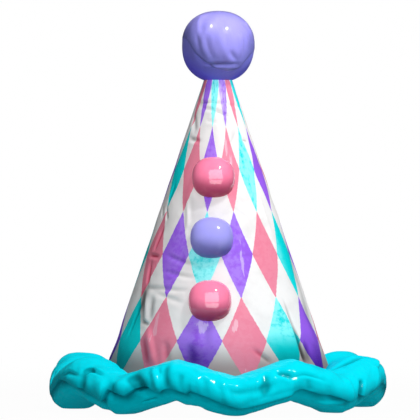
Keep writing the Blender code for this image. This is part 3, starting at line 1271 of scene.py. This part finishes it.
    def seated(self, radius: Array, height: Array, turn: Array) -> Array:
        """The points kept above the surface under the hat and clear of the cone.

        A height h under the sole's s becomes s exp(h / s - 1), which flattens the lowest
        cloth, and all of it then settles a little.
        """
        flattened = self.sole * np.exp(np.minimum(height / self.sole - 1, 0))
        height = np.where(height < self.sole, flattened, height)
        height = np.maximum(height - self.settling, 0.0)
        clear = self.crown.outer_radius(np.degrees(turn), height) + self.crown.seam_gap
        return placed(np.maximum(radius, clear), turn, height)

    def maps(self) -> dict[str, Array]:
        """The UV maps of the tube.

        Flat lays the weave along the tube, in metres, and relief holds the folds' depth times
        their shades in millimetres, for painted shade in the folds, and the degrees above the lip,
        for painted shade round the lip.
        """
        angle = around(self.columns, more=1)
        section = self.sections(angle)
        depth = 1000 * self.relief(np.broadcast_to(angle, section.shape), section, shaded=True)
        above = np.broadcast_to(self.row_turns()[:, None], section.shape)
        section = np.concatenate([section, section[:1] - 360])
        depth = np.concatenate([depth, depth[:1]])
        above = np.concatenate([above, above[:1] - 360])
        along = np.broadcast_to(np.radians(angle) * self.radius, section.shape)
        flat = np.stack([along, -np.radians(section) * self.half_width], axis=2)
        return {"flat": flat, "relief": np.stack([depth, above], axis=2)}

    def build(self) -> bpy.types.Object:
        """Makes the brim, stuffs it, and lays its weave along the tube."""
        grid = self.points()
        radius, turn = polar(grid)
        sewn = radius < self.crown.straight_radius(grid[:, :, 2]) + self.sewn_within
        puffed = BRIM_STUFFING.puffed(grid, sewn, ring=True)
        radius, puffed_turn = polar(puffed)
        grid = self.seated(radius, puffed[:, :, 2], np.where(sewn, turn, puffed_turn))
        mesh = woven_mesh("brim", grid, self.maps(), ring=True)
        piece = add_piece("brim", mesh, BRIM_SATIN.material("flat"))
        place_in_hat(piece, "brim_roll")
        return piece


@dataclass(frozen=True)
class TopBall:
    """The stuffed ball, drawn over the cone's tip, which fills a hollow under it.

    Reaches, steps and bands are in degrees.
    """

    crown: Crown
    half_width: float = 0.0291
    half_height: float = 0.0279
    centre: float = 0.291
    fullness: float = 2.25
    lower_height: float = 0.0295
    lower_fullness: float = 2.2
    lip: float = 0.0014
    undercut: float = 0.0013
    undercut_reach: float = 26.0
    swell: float = 0.0003
    swell_reach: float = 14.0
    edge_step: float = 3.5
    edge_middle: float = 15.0
    edge_sides: Band = (36.0, 66.0)
    smooth_mouth: float = 12.0
    columns: int = 280
    rows: int = 181

    def hollow(self) -> Array:
        """The (radius, height) rows of the hollow from its mouth up to near the axis."""
        crown = self.crown
        shoulder_radius = crown.straight_radius(crown.shoulder)
        s = np.linspace(*reversed(crown.cap_ends), 8)
        radius = (shoulder_radius + SEAM_GAP) * s
        height = crown.tip + SEAM_GAP - crown.tip_rounding * s**3
        edge = [shoulder_radius + crown.seam_gap, crown.shoulder]
        return np.concatenate([[edge], np.stack([radius, height], axis=1)])

    def profile(self) -> tuple[Array, Array]:
        """The (radius, height) rows, and the latitude of each row of the skin.

        They run from the top down the skin, round the mouth and up the hollow.
        """
        hollow = self.hollow()
        rim_radius = hollow[0, 0] + self.lip
        rim = math.acos((rim_radius / self.half_width) ** (self.lower_fullness / 2))
        latitude = np.linspace(math.radians(88), -rim, self.rows - len(hollow) - 3)
        fullness = np.where(latitude > 0, self.fullness, self.lower_fullness)
        size = np.where(latitude > 0, self.half_height, self.lower_height)
        level, rise = rounded(latitude, fullness)
        radius = self.half_width * level
        height = self.centre + size * rise
        mouth = height[-1] + self.lip / 2
        inner = self.crown.straight_radius(mouth) + self.crown.seam_gap
        lips = [
            [radius[-1] - self.lip * 0.35, height[-1] - self.lip * 0.10],
            [inner + self.lip * 0.25, height[-1] + self.lip * 0.12],
            [inner, mouth],
        ]
        skin = np.stack([radius, height], axis=1)
        return np.concatenate([skin, lips, hollow]), np.degrees(latitude)

    def gathered(self, angle: Array, above: Array) -> Array:
        """How deep the skin lies round the edge of the gathered upper cloth.

        With t the degrees above the edge, the skin below lies deeper by the undercut
        times exp(-(t / undercut reach)^2), and above it swells by the swell times
        exp(-(t / swell reach)^2), with a smooth step between. At the sides both are low.
        """
        under = self.undercut * np.exp(-((np.minimum(above, 0) / self.undercut_reach) ** 2))
        swell = self.swell * np.exp(-((np.maximum(above, 0) / self.swell_reach) ** 2))
        step = under - (under + swell) * smooth_step(above, -self.edge_step, self.edge_step)
        sides = smooth_step(np.abs(angle - self.edge_middle), *self.edge_sides)
        return step * (1 - 0.8 * sides)

    def creased(self, angle: Array, latitude: Array) -> tuple[Array, Array]:
        """How deep the folds lie, and the degrees above the edge of the upper cloth."""
        level = np.cos(np.radians(latitude))
        climb = math.radians(self.half_width)
        folds = relief_of(BALL_FOLDS, angle, latitude, self.half_width * level, climb)
        folds += BALL_RIPPLES.relief(np.radians(angle), np.radians(latitude)) * level**2
        places = np.array(BALL_LIP, float)
        return folds, latitude - np.interp(angle, places[:, 0], places[:, 1])

    def build(self) -> bpy.types.Object:
        """Makes the ball, stuffs it and dresses it."""
        profile, latitude = self.profile()
        phi, r = np.meshgrid(around(self.columns), profile[:, 0])
        z = np.repeat(profile[:, 1:], self.columns, axis=1)
        skin = len(latitude)
        lat = np.repeat(latitude[:, None], self.columns, axis=1)
        folds, above = self.creased(phi[:skin], lat)
        depth = folds + self.gathered(phi[:skin], above)
        depth *= smooth_step(lat, latitude[-1], latitude[-1] + self.smooth_mouth)
        relief = np.zeros((*phi.shape, 2))
        relief[:skin] = np.stack([1000 * folds, above], axis=2)
        relief[skin:, :, 1] = above[-1]
        grid = placed(r, np.radians(phi), z)
        outward = grid[:skin] - (0.0, 0.0, self.centre)
        size = np.linalg.norm(outward, axis=2, keepdims=True)
        grid[:skin] -= outward / size * depth[:, :, None]
        held = np.ones(grid.shape[:2], bool)
        held[2 : skin - 4] = False
        grid = BALL_STUFFING.puffed(grid, held)
        top = grid[0].mean(0) + (0.0, 0.0, 0.00001)
        inner_pole = np.array([0.0, 0.0, self.crown.tip + SEAM_GAP])
        maps = {"relief": closed(relief)}
        mesh = woven_mesh("ball", grid, maps, poles=np.stack([top, inner_pole]))
        piece = add_piece("ball", mesh, BALL_SATIN.material(None))
        place_in_hat(piece, "top_ball")
        return piece


@dataclass(frozen=True)
class Button:
    """A moulded ball button whose back follows the cone."""

    name: str
    node: str
    slot: str
    height: float
    finish: GlossBall
    half_width: float = 0.01700
    half_height: float = 0.0161
    half_depth: float = 0.0162
    fullness: float = 2.3
    stand_off: float = 0.002
    columns: int = 96
    rows: int = 65
    pressing_rounds: int = 14

    def build(self, crown: Crown) -> bpy.types.Object:
        """Makes the ball on its own axes, places it and presses its back on the cone.

        The ball is (a cos lat sin turn, b sin lat, c cos lat cos turn), with each sine
        and cosine raised to 2 / fullness and poles above and below. Points that lie
        inside the cone move out along the cone's normal until they clear it.
        """
        lean = crown.lean
        out = np.array([0.0, -math.cos(lean), math.sin(lean)])
        upward = np.array([0.0, math.sin(lean), math.cos(lean)])
        right = np.array([1.0, 0.0, 0.0])
        spot = np.array([0.0, -float(crown.straight_radius(self.height)), self.height])
        spot = spot + out * self.stand_off
        latitude = np.linspace(math.pi / 2, -math.pi / 2, self.rows + 2)[1:-1]
        turn = 2 * math.pi * np.arange(self.columns) / self.columns
        phi, lat = np.meshgrid(turn, latitude)
        level, rise = rounded(lat, self.fullness)
        front, side = rounded(phi, self.fullness)
        body = (
            self.half_width * (level * side)[:, :, None] * right
            + self.half_height * rise[:, :, None] * upward
            + self.half_depth * (level * front)[:, :, None] * out
        )
        ends = np.stack([upward, -upward]) * self.half_height
        points = np.concatenate([body.reshape(-1, 3), ends]) + spot
        for _ in range(self.pressing_rounds):
            radius, turn = polar(points)
            clear = crown.outer_radius(np.degrees(turn), points[:, 2]) + crown.seam_gap
            points += np.outer(np.maximum(clear - radius, 0.0), out)
        grid = points[:-2].reshape(body.shape)
        mesh = woven_mesh(self.name, grid, poles=points[-2:])
        material = self.finish.material(self.height, self.half_height)
        piece = add_piece(self.name, mesh, material)
        return place_in_hat(piece, self.node)


@dataclass(frozen=True)
class Lamp:
    """An area lamp that looks at a point of the hat.

    Its azimuth counts from the front toward +X, and its elevation from level. It is
    lifted square to its way, and a lamp only for reflections is a rectangle, the others
    round.
    """

    name: str
    azimuth: float
    elevation: float
    distance: float
    width: float
    height: float
    power: float
    reflection_only: bool = False
    lift: float = 0.0
    shadows: bool = True
    only_for: tuple[str, ...] = ()
    mirrored: bool = True

    def build(self, target: Vector) -> bpy.types.Object:
        """Makes the lamp and turns it to the target."""
        a, e = math.radians(self.azimuth), math.radians(self.elevation)
        way = Vector((math.sin(a) * math.cos(e), -math.cos(a) * math.cos(e), math.sin(e)))
        data = bpy.data.lights.new(self.name, "AREA")
        data.shape = "RECTANGLE" if self.reflection_only else "ELLIPSE"
        data.size = self.width
        data.size_y = self.height
        data.energy = self.power
        data.use_shadow = self.shadows
        lamp = add_object(self.name, data)
        lamp.rotation_euler = way.to_track_quat("Z", "Y").to_euler()
        upward = lamp.rotation_euler.to_matrix() @ Vector((0, 1, 0))
        lamp.location = target + way * self.distance + upward * self.lift
        lamp.visible_camera = False
        lamp.visible_glossy = self.mirrored
        if self.reflection_only:
            lamp.visible_diffuse = False
            lamp.visible_transmission = False
        if self.only_for:
            lit = bpy.data.collections.new(f"lit_by_{self.name}")
            for name in self.only_for:
                lit.objects.link(bpy.data.objects[name])
            lamp.light_linking.receiver_collection = lit
        return lamp


@dataclass(frozen=True)
class Studio:
    """The pale floor, the white surround, the lamps and the camera."""

    azimuth: float = 5.0
    distance: float = 3.212
    camera_height: float = 0.1751
    aim_height: float = 0.1591
    aim_left: float = 0.00642
    frame_width: float = PHOTO_WIDTH * PIXEL
    sensor: float = 36.0
    ambient: float = 0.325
    mirrored: float = 0.012
    lamp_target: float = 0.14
    floor_radius: float = 4.0
    floor_height: float = -0.0004
    floor_bottom: float = -0.02
    floor_white: float = 0.46
    contact_grey: float = 0.62
    contact_share: float = 0.04
    contact_band: Band = (0.10, 0.9)

    def camera(self) -> None:
        """Makes the camera at the photo's angle and framing."""
        a = math.radians(self.azimuth)
        right = Vector((math.cos(a), math.sin(a), 0.0))
        place = Vector((math.sin(a), -math.cos(a), 0.0)) * self.distance
        place.z = self.camera_height
        aim = right * -self.aim_left
        aim.z = self.aim_height
        data = bpy.data.cameras.new("camera")
        data.sensor_width = self.sensor
        data.lens = self.sensor * (aim - place).length / self.frame_width
        data.clip_start = 0.05
        data.clip_end = 50.0
        camera = add_object("camera", data)
        camera.location = place
        camera.rotation_euler = (aim - place).to_track_quat("-Z", "Y").to_euler()
        bpy.context.scene.camera = camera

    def surround(self) -> None:
        """A white surround that lights the hat more softly than it shows."""
        nodes = NodeMaker(bpy.data.worlds.new("surround"))
        bpy.context.scene.world = nodes.owner
        path = nodes.node("ShaderNodeLightPath")
        strength = self.ambient
        for ray, value in (("Is Glossy Ray", self.mirrored), ("Is Camera Ray", 1.0)):
            inputs = {0: path.outputs[ray], 2: strength, 3: value}
            strength = nodes.node("ShaderNodeMix", None, inputs).outputs[0]
        back = nodes.tree.nodes["Background"]
        nodes.feed(back.inputs["Color"], WHITE)
        nodes.feed(back.inputs["Strength"], strength)

    def floor(self) -> None:
        """A round pale floor that fades into the white surround.

        The camera sees a glow with a little grey near the hat, and light bounces off
        plain grey.
        """
        angle = 2 * math.pi * np.arange(96) / 96
        radii = self.floor_radius * np.linspace(0.02, 1.0, 24)
        r, a = np.meshgrid(radii, -angle, indexing="ij")
        grid = np.stack([r * np.cos(a), r * np.sin(a), np.full_like(r, self.floor_height)], axis=2)
        below = np.array([[0, 0, self.floor_height], [0, 0, self.floor_bottom]])
        mesh = woven_mesh("floor", grid[::-1], poles=below[::-1])
        nodes = NodeMaker(bpy.data.materials.new("floor"))
        x, y, _ = nodes.parts(nodes.here())
        near = 1.0 - nodes.maths("SQRT", x * x + y * y).rise(*self.contact_band)
        path = nodes.node("ShaderNodeLightPath")
        plain, grey = (
            nodes.node("ShaderNodeBsdfDiffuse", None, {"Color": (tone,) * 3}).outputs[0]
            for tone in (self.floor_white, self.contact_grey)
        )
        glow = nodes.node("ShaderNodeEmission", None, {"Color": WHITE, "Strength": 1.0})
        seen = nodes.node(
            "ShaderNodeMixShader", None, {0: near * self.contact_share, 1: glow.outputs[0], 2: grey}
        )
        both = nodes.node(
            "ShaderNodeMixShader",
            None,
            {0: path.outputs["Is Camera Ray"], 1: plain, 2: seen.outputs[0]},
        )
        nodes.feed(nodes.tree.nodes["Material Output"].inputs["Surface"], both.outputs[0])
        floor = add_piece("floor", mesh, nodes.owner)
        floor.visible_glossy = False
        floor.visible_shadow = False

    def build(self) -> None:
        """Makes the studio round the finished hat."""
        bpy.context.scene.view_settings.view_transform = "Standard"
        self.camera()
        self.surround()
        self.floor()
        target = Vector((0.0, 0.0, self.lamp_target))
        for lamp in LAMPS:
            lamp.build(target)


CREASE, RIDGE = FoldKind.CREASE, FoldKind.RIDGE
DENT, FLOP = FoldKind.DENT, FoldKind.FLOP

# Folds of the cone, with places as heights in metres; a fold's shade darkens the colour as painted
# shade, and the shallow dents with large shades are mostly painted shade
CONE_FOLDS = (
    Fold((-51.6, 0.2456), (76.6, 0.2417), 0.0013, 0.00060, CREASE, bow=0.0006, shade=2.6),
    Fold((-38.4, 0.2415), (38.6, 0.2326), 0.0015, 0.00070, CREASE, bow=0.0008, shade=2.2),
    Fold((-52.0, 0.2438), (-22.0, 0.2440), 0.0020, 0.00060, DENT, shade=3.0),
    Fold((-20.6, 0.2310), (5.0, 0.2286), 0.0014, 0.00045, CREASE, shade=3.0),
    Fold((-58.0, 0.2342), (-42.0, 0.2222), 0.0034, 0.00120),
    Fold((-50.0, 0.2160), (-26.0, 0.2140), 0.0022, 0.00130, shade=1.6),
    Fold((44.7, 0.2153), (61.5, 0.2143), 0.0016, 0.00070, CREASE, shade=3.0),
    Fold((41.2, 0.2246), (20.5, 0.2086), 0.0020, 0.00050, shade=2.0),
    Fold((-55.9, 0.1799), (-58.5, 0.1624), 0.0024, 0.00120, shade=2.0),
    Fold((-58.7, 0.1616), (-50.5, 0.1520), 0.0018, 0.00160, shade=2.4),
    Fold((-70.7, 0.1615), (-62.7, 0.1544), 0.0018, 0.00120, shade=2.4),
    Fold((-28.0, 0.1672), (-21.8, 0.1403), 0.0024, 0.00100, RIDGE),
    Fold((-22.8, 0.1466), (-20.6, 0.1395), 0.0022, 0.00090, shade=1.8),
    Fold((-53.3, 0.1441), (-57.3, 0.1274), 0.0024, 0.00150, shade=2.0),
    Fold((-62.0, 0.1228), (-48.3, 0.1219), 0.0020, 0.00140, shade=2.0),
    Fold((-56.8, 0.1173), (-52.4, 0.0997), 0.0026, 0.00150, shade=1.8),
    Fold((-37.5, 0.1228), (-11.5, 0.1152), 0.0024, 0.00100, shade=1.4),
    Fold((-35.9, 0.1103), (-12.1, 0.1058), 0.0024, 0.00090, shade=1.4),
    Fold((-52.2, 0.0977), (-15.4, 0.0956), 0.0026, 0.00100, shade=1.2),
    Fold((-45.4, 0.0955), (-18.5, 0.0862), 0.0028, 0.00080),
    Fold((-54.2, 0.0981), (-50.3, 0.0792), 0.0056, 0.00050, DENT, shade=4.6),
    Fold((-50.5, 0.0926), (-44.3, 0.0723), 0.0028, 0.00080, RIDGE),
    Fold((-50.6, 0.0800), (-42.0, 0.0630), 0.0062, 0.00080, DENT, shade=2.1),
    Fold((-43.5, 0.0912), (-39.6, 0.0717), 0.0036, 0.00110, shade=1.9),
    Fold((-47.2, 0.0711), (-40.5, 0.0685), 0.0020, 0.00120),
    Fold((-38.8, 0.0650), (-29.6, 0.0385), 0.0066, 0.00210, FLOP),
    Fold((-41.0, 0.0610), (-33.0, 0.0380), 0.0040, 0.00030, DENT, shade=11.0),
    Fold((-53.7, 0.0846), (-57.8, 0.0600), 0.0020, 0.00120, shade=1.5),
    Fold((-57.0, 0.1010), (-50.0, 0.0660), 0.0085, 0.00030, DENT, shade=4.0),
    Fold((-25.4, 0.0550), (-22.8, 0.0403), 0.0036, 0.00130),
    Fold((-10.5, 0.0537), (-8.6, 0.0406), 0.0046, 0.00100, shade=0.7),
    Fold((-11.5, 0.0570), (-5.5, 0.0360), 0.0110, 0.00020, DENT, shade=9.5),
    Fold((55.0, 0.1735), (59.4, 0.1400), 0.0022, 0.00070, RIDGE),
    Fold((12.8, 0.1247), (39.4, 0.1221), 0.0020, 0.00050, shade=1.5),
    Fold((19.0, 0.1609), (35.3, 0.1522), 0.0020, 0.00045, shade=1.5),
    Fold((52.8, 0.0881), (56.5, 0.0600), 0.0026, 0.00140, shade=1.6),
    Fold((56.6, 0.0640), (57.5, 0.0385), 0.0036, 0.00160, shade=2.2),
    Fold((62.8, 0.0560), (60.5, 0.0376), 0.0056, 0.00120, DENT, shade=2.2),
    Fold((85.0, 0.1450), (77.0, 0.0420), 0.0085, 0.00050, DENT, shade=3.6),
    Fold((24.8, 0.0498), (34.6, 0.0390), 0.0028, 0.00160, shade=1.4),
    Fold((-2.2, 0.0732), (-1.6, 0.0538), 0.0040, 0.00090),
)

# Places of the brim's lip in front, as (angle, section angle)
BRIM_LIP = (
    (-63, 4), (-53.5, -14), (-46.5, -10), (-41, -14), (-36.5, -18), (-34.5, 14),
    (-31.5, 5), (-27, -9), (-23.5, 1), (-21, 4), (-18.5, -2), (-16.5, -15),
    (-14.5, -23), (-13.5, -18), (-8, -20), (-5.5, -22), (-4, -11), (-0.5, -15),
    (2.5, -17), (6, -24), (10, -26), (14, -30), (17, -33), (26, -33), (30, -35),
    (30.9, -23), (32.5, -20), (35.5, -23), (41.5, -24), (45.5, -19), (49.5, -18),
    (53, -20), (55, -22), (57, -11), (60, -6), (64, -22), (69, -18), (74.5, -26),
    (83.5, -13),
)

# Folds of the brim, with places as section angles in degrees; a fold's shade darkens the satin as
# painted shade
BRIM_FOLDS = (
    Fold((-84, 82), (-72, 56), 0.0056, 0.0036, DENT, shade=1.3),
    Fold((-84, 40), (-76, 18), 0.0032, 0.0020),
    Fold((-60, 7), (-50, 16), 0.0026, 0.0018),
    Fold((-57, -3), (-50, -3), 0.0036, 0.0012, RIDGE),
    Fold((-47.5, 51), (-45.2, 40), 0.0048, 0.0038, DENT, shade=1.8),
    Fold((-46, 50), (-39.5, 50), 0.0024, 0.0018),
    Fold((-46, 61), (-37, 58), 0.0028, 0.0010, RIDGE),
    Fold((-47.5, 30), (-46, -12), 0.0060, 0.0020),
    Fold((-37.4, 36), (-35.8, -16), 0.0080, 0.0020, FLOP),
    Fold((-33.4, 34), (-32.6, -2), 0.0042, 0.0020),
    Fold((-31.2, 42), (-28, -8), 0.0050, 0.0010, RIDGE),
    Fold((-27, 54), (-21, 2), 0.0072, 0.0046),
    Fold((-23, 10), (-19, -4), 0.0044, 0.0020),
    Fold((-17.8, 50), (-14.4, -20), 0.0034, 0.0022, RIDGE),
    Fold((-15.6, 48), (-14.6, 24), 0.0014, 0.0010),
    Fold((-13, 48), (-12, -14), 0.0034, 0.0022),
    Fold((-7.5, 24), (-7, -18), 0.0036, 0.0011),
    Fold((-3.6, 8), (-3.2, -18), 0.0030, 0.0010, RIDGE),
    Fold((0.5, 32), (1, -12), 0.0040, 0.0011),
    Fold((-22, -42), (-16.5, -44), 0.0020, 0.0020),
    Fold((6.5, 40), (8, -18), 0.0034, 0.0009, RIDGE),
    Fold((21.2, 46), (20.5, -16), 0.0050, 0.0018, shade=1.3),
    Fold((8, 12), (25, 6), 0.0048, 0.0014),
    Fold((14, -26), (31, -27), 0.0030, 0.0018, RIDGE),
    Fold((25.3, 43), (30.6, 14), 0.0036, 0.0024),
    Fold((30, 11), (43, 14), 0.0018, 0.0008, CREASE, bow=0.001, shade=2.0),
    Fold((36, 4), (37, -20), 0.0050, 0.0013),
    Fold((42, -60), (54, -32), 0.0026, 0.0013, RIDGE),
    Fold((55, 46), (55.4, -14), 0.0040, 0.0022, RIDGE),
    Fold((62.8, 26), (59.6, -12), 0.0040, 0.0032, shade=1.3),
    Fold((62, 112), (78, 82), 0.0036, 0.0024),
    Fold((86, 72), (75, 24), 0.0050, 0.0018, FLOP, bow=0.002),
    Fold((75, 34), (70.6, -16), 0.0050, 0.0018, FLOP, bow=0.002),
    Fold((77, 34), (72.6, -14), 0.0024, 0.0007, DENT, bow=0.002, shade=4.0),
    Fold((86, 50), (80, -16), 0.0040, 0.0014, FLOP),
    Fold((88.5, 50), (82.5, -14), 0.0024, 0.0006, DENT, shade=4.0),
    Fold((98, 60), (103, 10), 0.0034, 0.0022),
    Fold((118, 40), (114, 0), 0.0034, 0.0018),
    Fold((142, 62), (148, 12), 0.0034, 0.0022),
    Fold((163, 38), (167, -4), 0.0034, 0.0018),
    Fold((-172, 60), (-167, 6), 0.0034, 0.0022),
    Fold((-148, 30), (-152, 0), 0.0034, 0.0018),
    Fold((-128, 62), (-122, 10), 0.0034, 0.0022),
    Fold((-108, 34), (-104, -6), 0.0034, 0.0018),
)

# Edge of the ball's gathered upper cloth, as (angle, latitude)
BALL_LIP = (
    (-180, -6), (-130, 0), (-92, 6), (-70, 10), (-56, 8), (-44, -1), (-34, -11), (-26, -19),
    (-17, -27), (-7, -34), (8, -41), (25, -45), (38, -43), (51, -36), (59, -24),
    (70, -14), (90, -6), (130, 0), (180, -6),
)

# Folds of the ball, with places as latitudes in degrees
BALL_FOLDS = (
    Fold((-34, 44), (-8, -20), 0.0034, 0.0007, RIDGE, bow=-0.002),
    Fold((-26, 30), (-27, -2), 0.0042, 0.0008),
    Fold((-14, 10), (-1, -26), 0.0040, 0.0009, bow=-0.001),
    Fold((5, 18), (32, -30), 0.0044, 0.0007, RIDGE, bow=-0.002),
    Fold((24, -9), (38, -25), 0.0030, 0.0011),
    Fold((44, 12), (46, -16), 0.0038, 0.0006, RIDGE),
    Fold((51, 14), (49, -16), 0.0034, 0.0009),
    Fold((54, 36), (67, -6), 0.0026, 0.0005, bow=0.001),
    Fold((62, 30), (75, 4), 0.0024, 0.0005, bow=0.001),
    Fold((-17, -31), (42, -29), 0.0022, 0.0012),
    Fold((-14, -37), (46, -36), 0.0018, 0.0006, RIDGE),
    Fold((100, 30), (120, 8), 0.0040, 0.0010),
    Fold((150, 34), (166, 6), 0.0040, 0.0010),
    Fold((-125, 36), (-108, 10), 0.0040, 0.0010),
    Fold((-165, 34), (-150, 4), 0.0040, 0.0009),
)

# Rubbed spots of the print, paler as wear and as painted highlight
WORN_HIGHLIGHTS = (
    WornHighlight(0.05, 3.33, 0.22, 0.12),
    WornHighlight(-1.12, 3.42, 0.16, 0.28),
    WornHighlight(0.80, 3.33, 0.10, 0.10),
    WornHighlight(1.15, 2.53, 0.06, 0.40),
    WornHighlight(0.75, 0.62, 0.30, 0.36),
    WornHighlight(0.89, 1.23, 0.16, 0.16),
    WornHighlight(1.10, 1.38, 0.15, 0.12),
)

CONE_RIPPLES = Ripples(11, (3, 12), (3.0, 11.0), 0.00022)
BRIM_RIPPLES = Ripples(23, (16, 52), (1.0, 6.0), 0.00028, 18, True)
BRIM_CRINKLES = Ripples(29, (60, 120), (4.0, 14.0), 0.00008, 16, True)
BALL_RIPPLES = Ripples(37, (3, 14), (1.0, 5.0), 0.00022)

BRIM_STUFFING = Stuffing(pressure=4.0, reach=0.0012)
BALL_STUFFING = Stuffing(pressure=4.0, reach=0.0008)

BRIM_SATIN = StuffedSatin(
    name="brim_satin",
    colour=(0.0, 0.74, 0.88),
    edge=(0.0, 0.42, 0.52),
    shadow_under_edge=(0.0, 0.25, 0.32),
    under=(0.0, 0.68, 0.82),
    reach=32.0,
    fold_shade=0.60,
    roughness=0.42,
    specular=0.03,
    tint=(0.02, 0.95, 1.0),
    coat=0.34,
    coat_roughness=0.10,
    bare=(76.0, 96.0),
)
BALL_SATIN = StuffedSatin(
    name="ball_satin",
    colour=(0.345, 0.32, 0.90),
    edge=(0.178, 0.184, 0.57),
    shadow_under_edge=(0.22, 0.22, 0.76),
    under=(0.135, 0.115, 0.80),
    reach=50.0,
    fold_shade=0.70,
    roughness=0.44,
    specular=0.15,
    tint=(0.6, 0.6, 1.0),
    coat=0.72,
    coat_roughness=0.10,
    bare=(150.0, 170.0),
)
PINK_PLASTIC = GlossBall(
    name="button_pink",
    colour=(0.94, 0.215, 0.37),
    painted_shade_tone=(0.44, 0.035, 0.085),
    roughness=0.34,
    coat=1.0,
    coat_roughness=0.006,
)
PERIWINKLE_PLASTIC = GlossBall(
    name="button_periwinkle",
    colour=(0.335, 0.325, 0.82),
    painted_shade_tone=(0.125, 0.13, 0.40),
    roughness=0.30,
    coat=0.6,
    coat_roughness=0.10,
)

BUTTONS = (
    Button("upper_button", "button_top", "button_pink", 0.1843, PINK_PLASTIC),
    Button("centre_button", "button_middle", "button_periwinkle", 0.1366, PERIWINKLE_PLASTIC),
    Button("lower_button", "button_bottom", "button_pink", 0.0874, PINK_PLASTIC),
)

PINK_BUTTONS = ("upper_button", "lower_button")
LAMPS = (
    Lamp("key", 38, 52, 1.6, 0.18, 0.18, 7.0),
    Lamp("fill", 38, 50, 1.7, 0.18, 0.18, 18.5, shadows=False),
    Lamp(
        "button_fill", -14, 18, 1.5, 0.5, 0.5, 6.0,
        shadows=False, only_for=tuple(button.name for button in BUTTONS), mirrored=False,
    ),
    Lamp("ball_glint", -14, 62, 1.6, 0.12, 0.12, 24.0, reflection_only=True, only_for=("ball",)),
    Lamp(
        "print_pane", 12.7, 11, 2.5, 3.41, 2.81, 150.0,
        reflection_only=True, lift=1.04, only_for=("crown",),
    ),
    Lamp(
        "upper_pane", 14.4, 11, 2.5, 2.64, 1.90, 78.5,
        reflection_only=True, lift=0.585, only_for=PINK_BUTTONS,
    ),
    Lamp(
        "lower_pane", 14.4, 11, 2.5, 2.64, 1.685, 67.7,
        reflection_only=True, lift=-1.45, only_for=PINK_BUTTONS,
    ),
)


def main() -> None:
    """Builds the hat from the cone outwards, then the studio round it."""
    logging.basicConfig(level=logging.INFO, format="%(name)s: %(message)s")
    crown = Crown()
    crown.build()
    Brim(crown).build()
    TopBall(crown).build()
    for button in BUTTONS:
        button.build(crown)
    Studio().build()


if __name__ == "__main__":
    main()
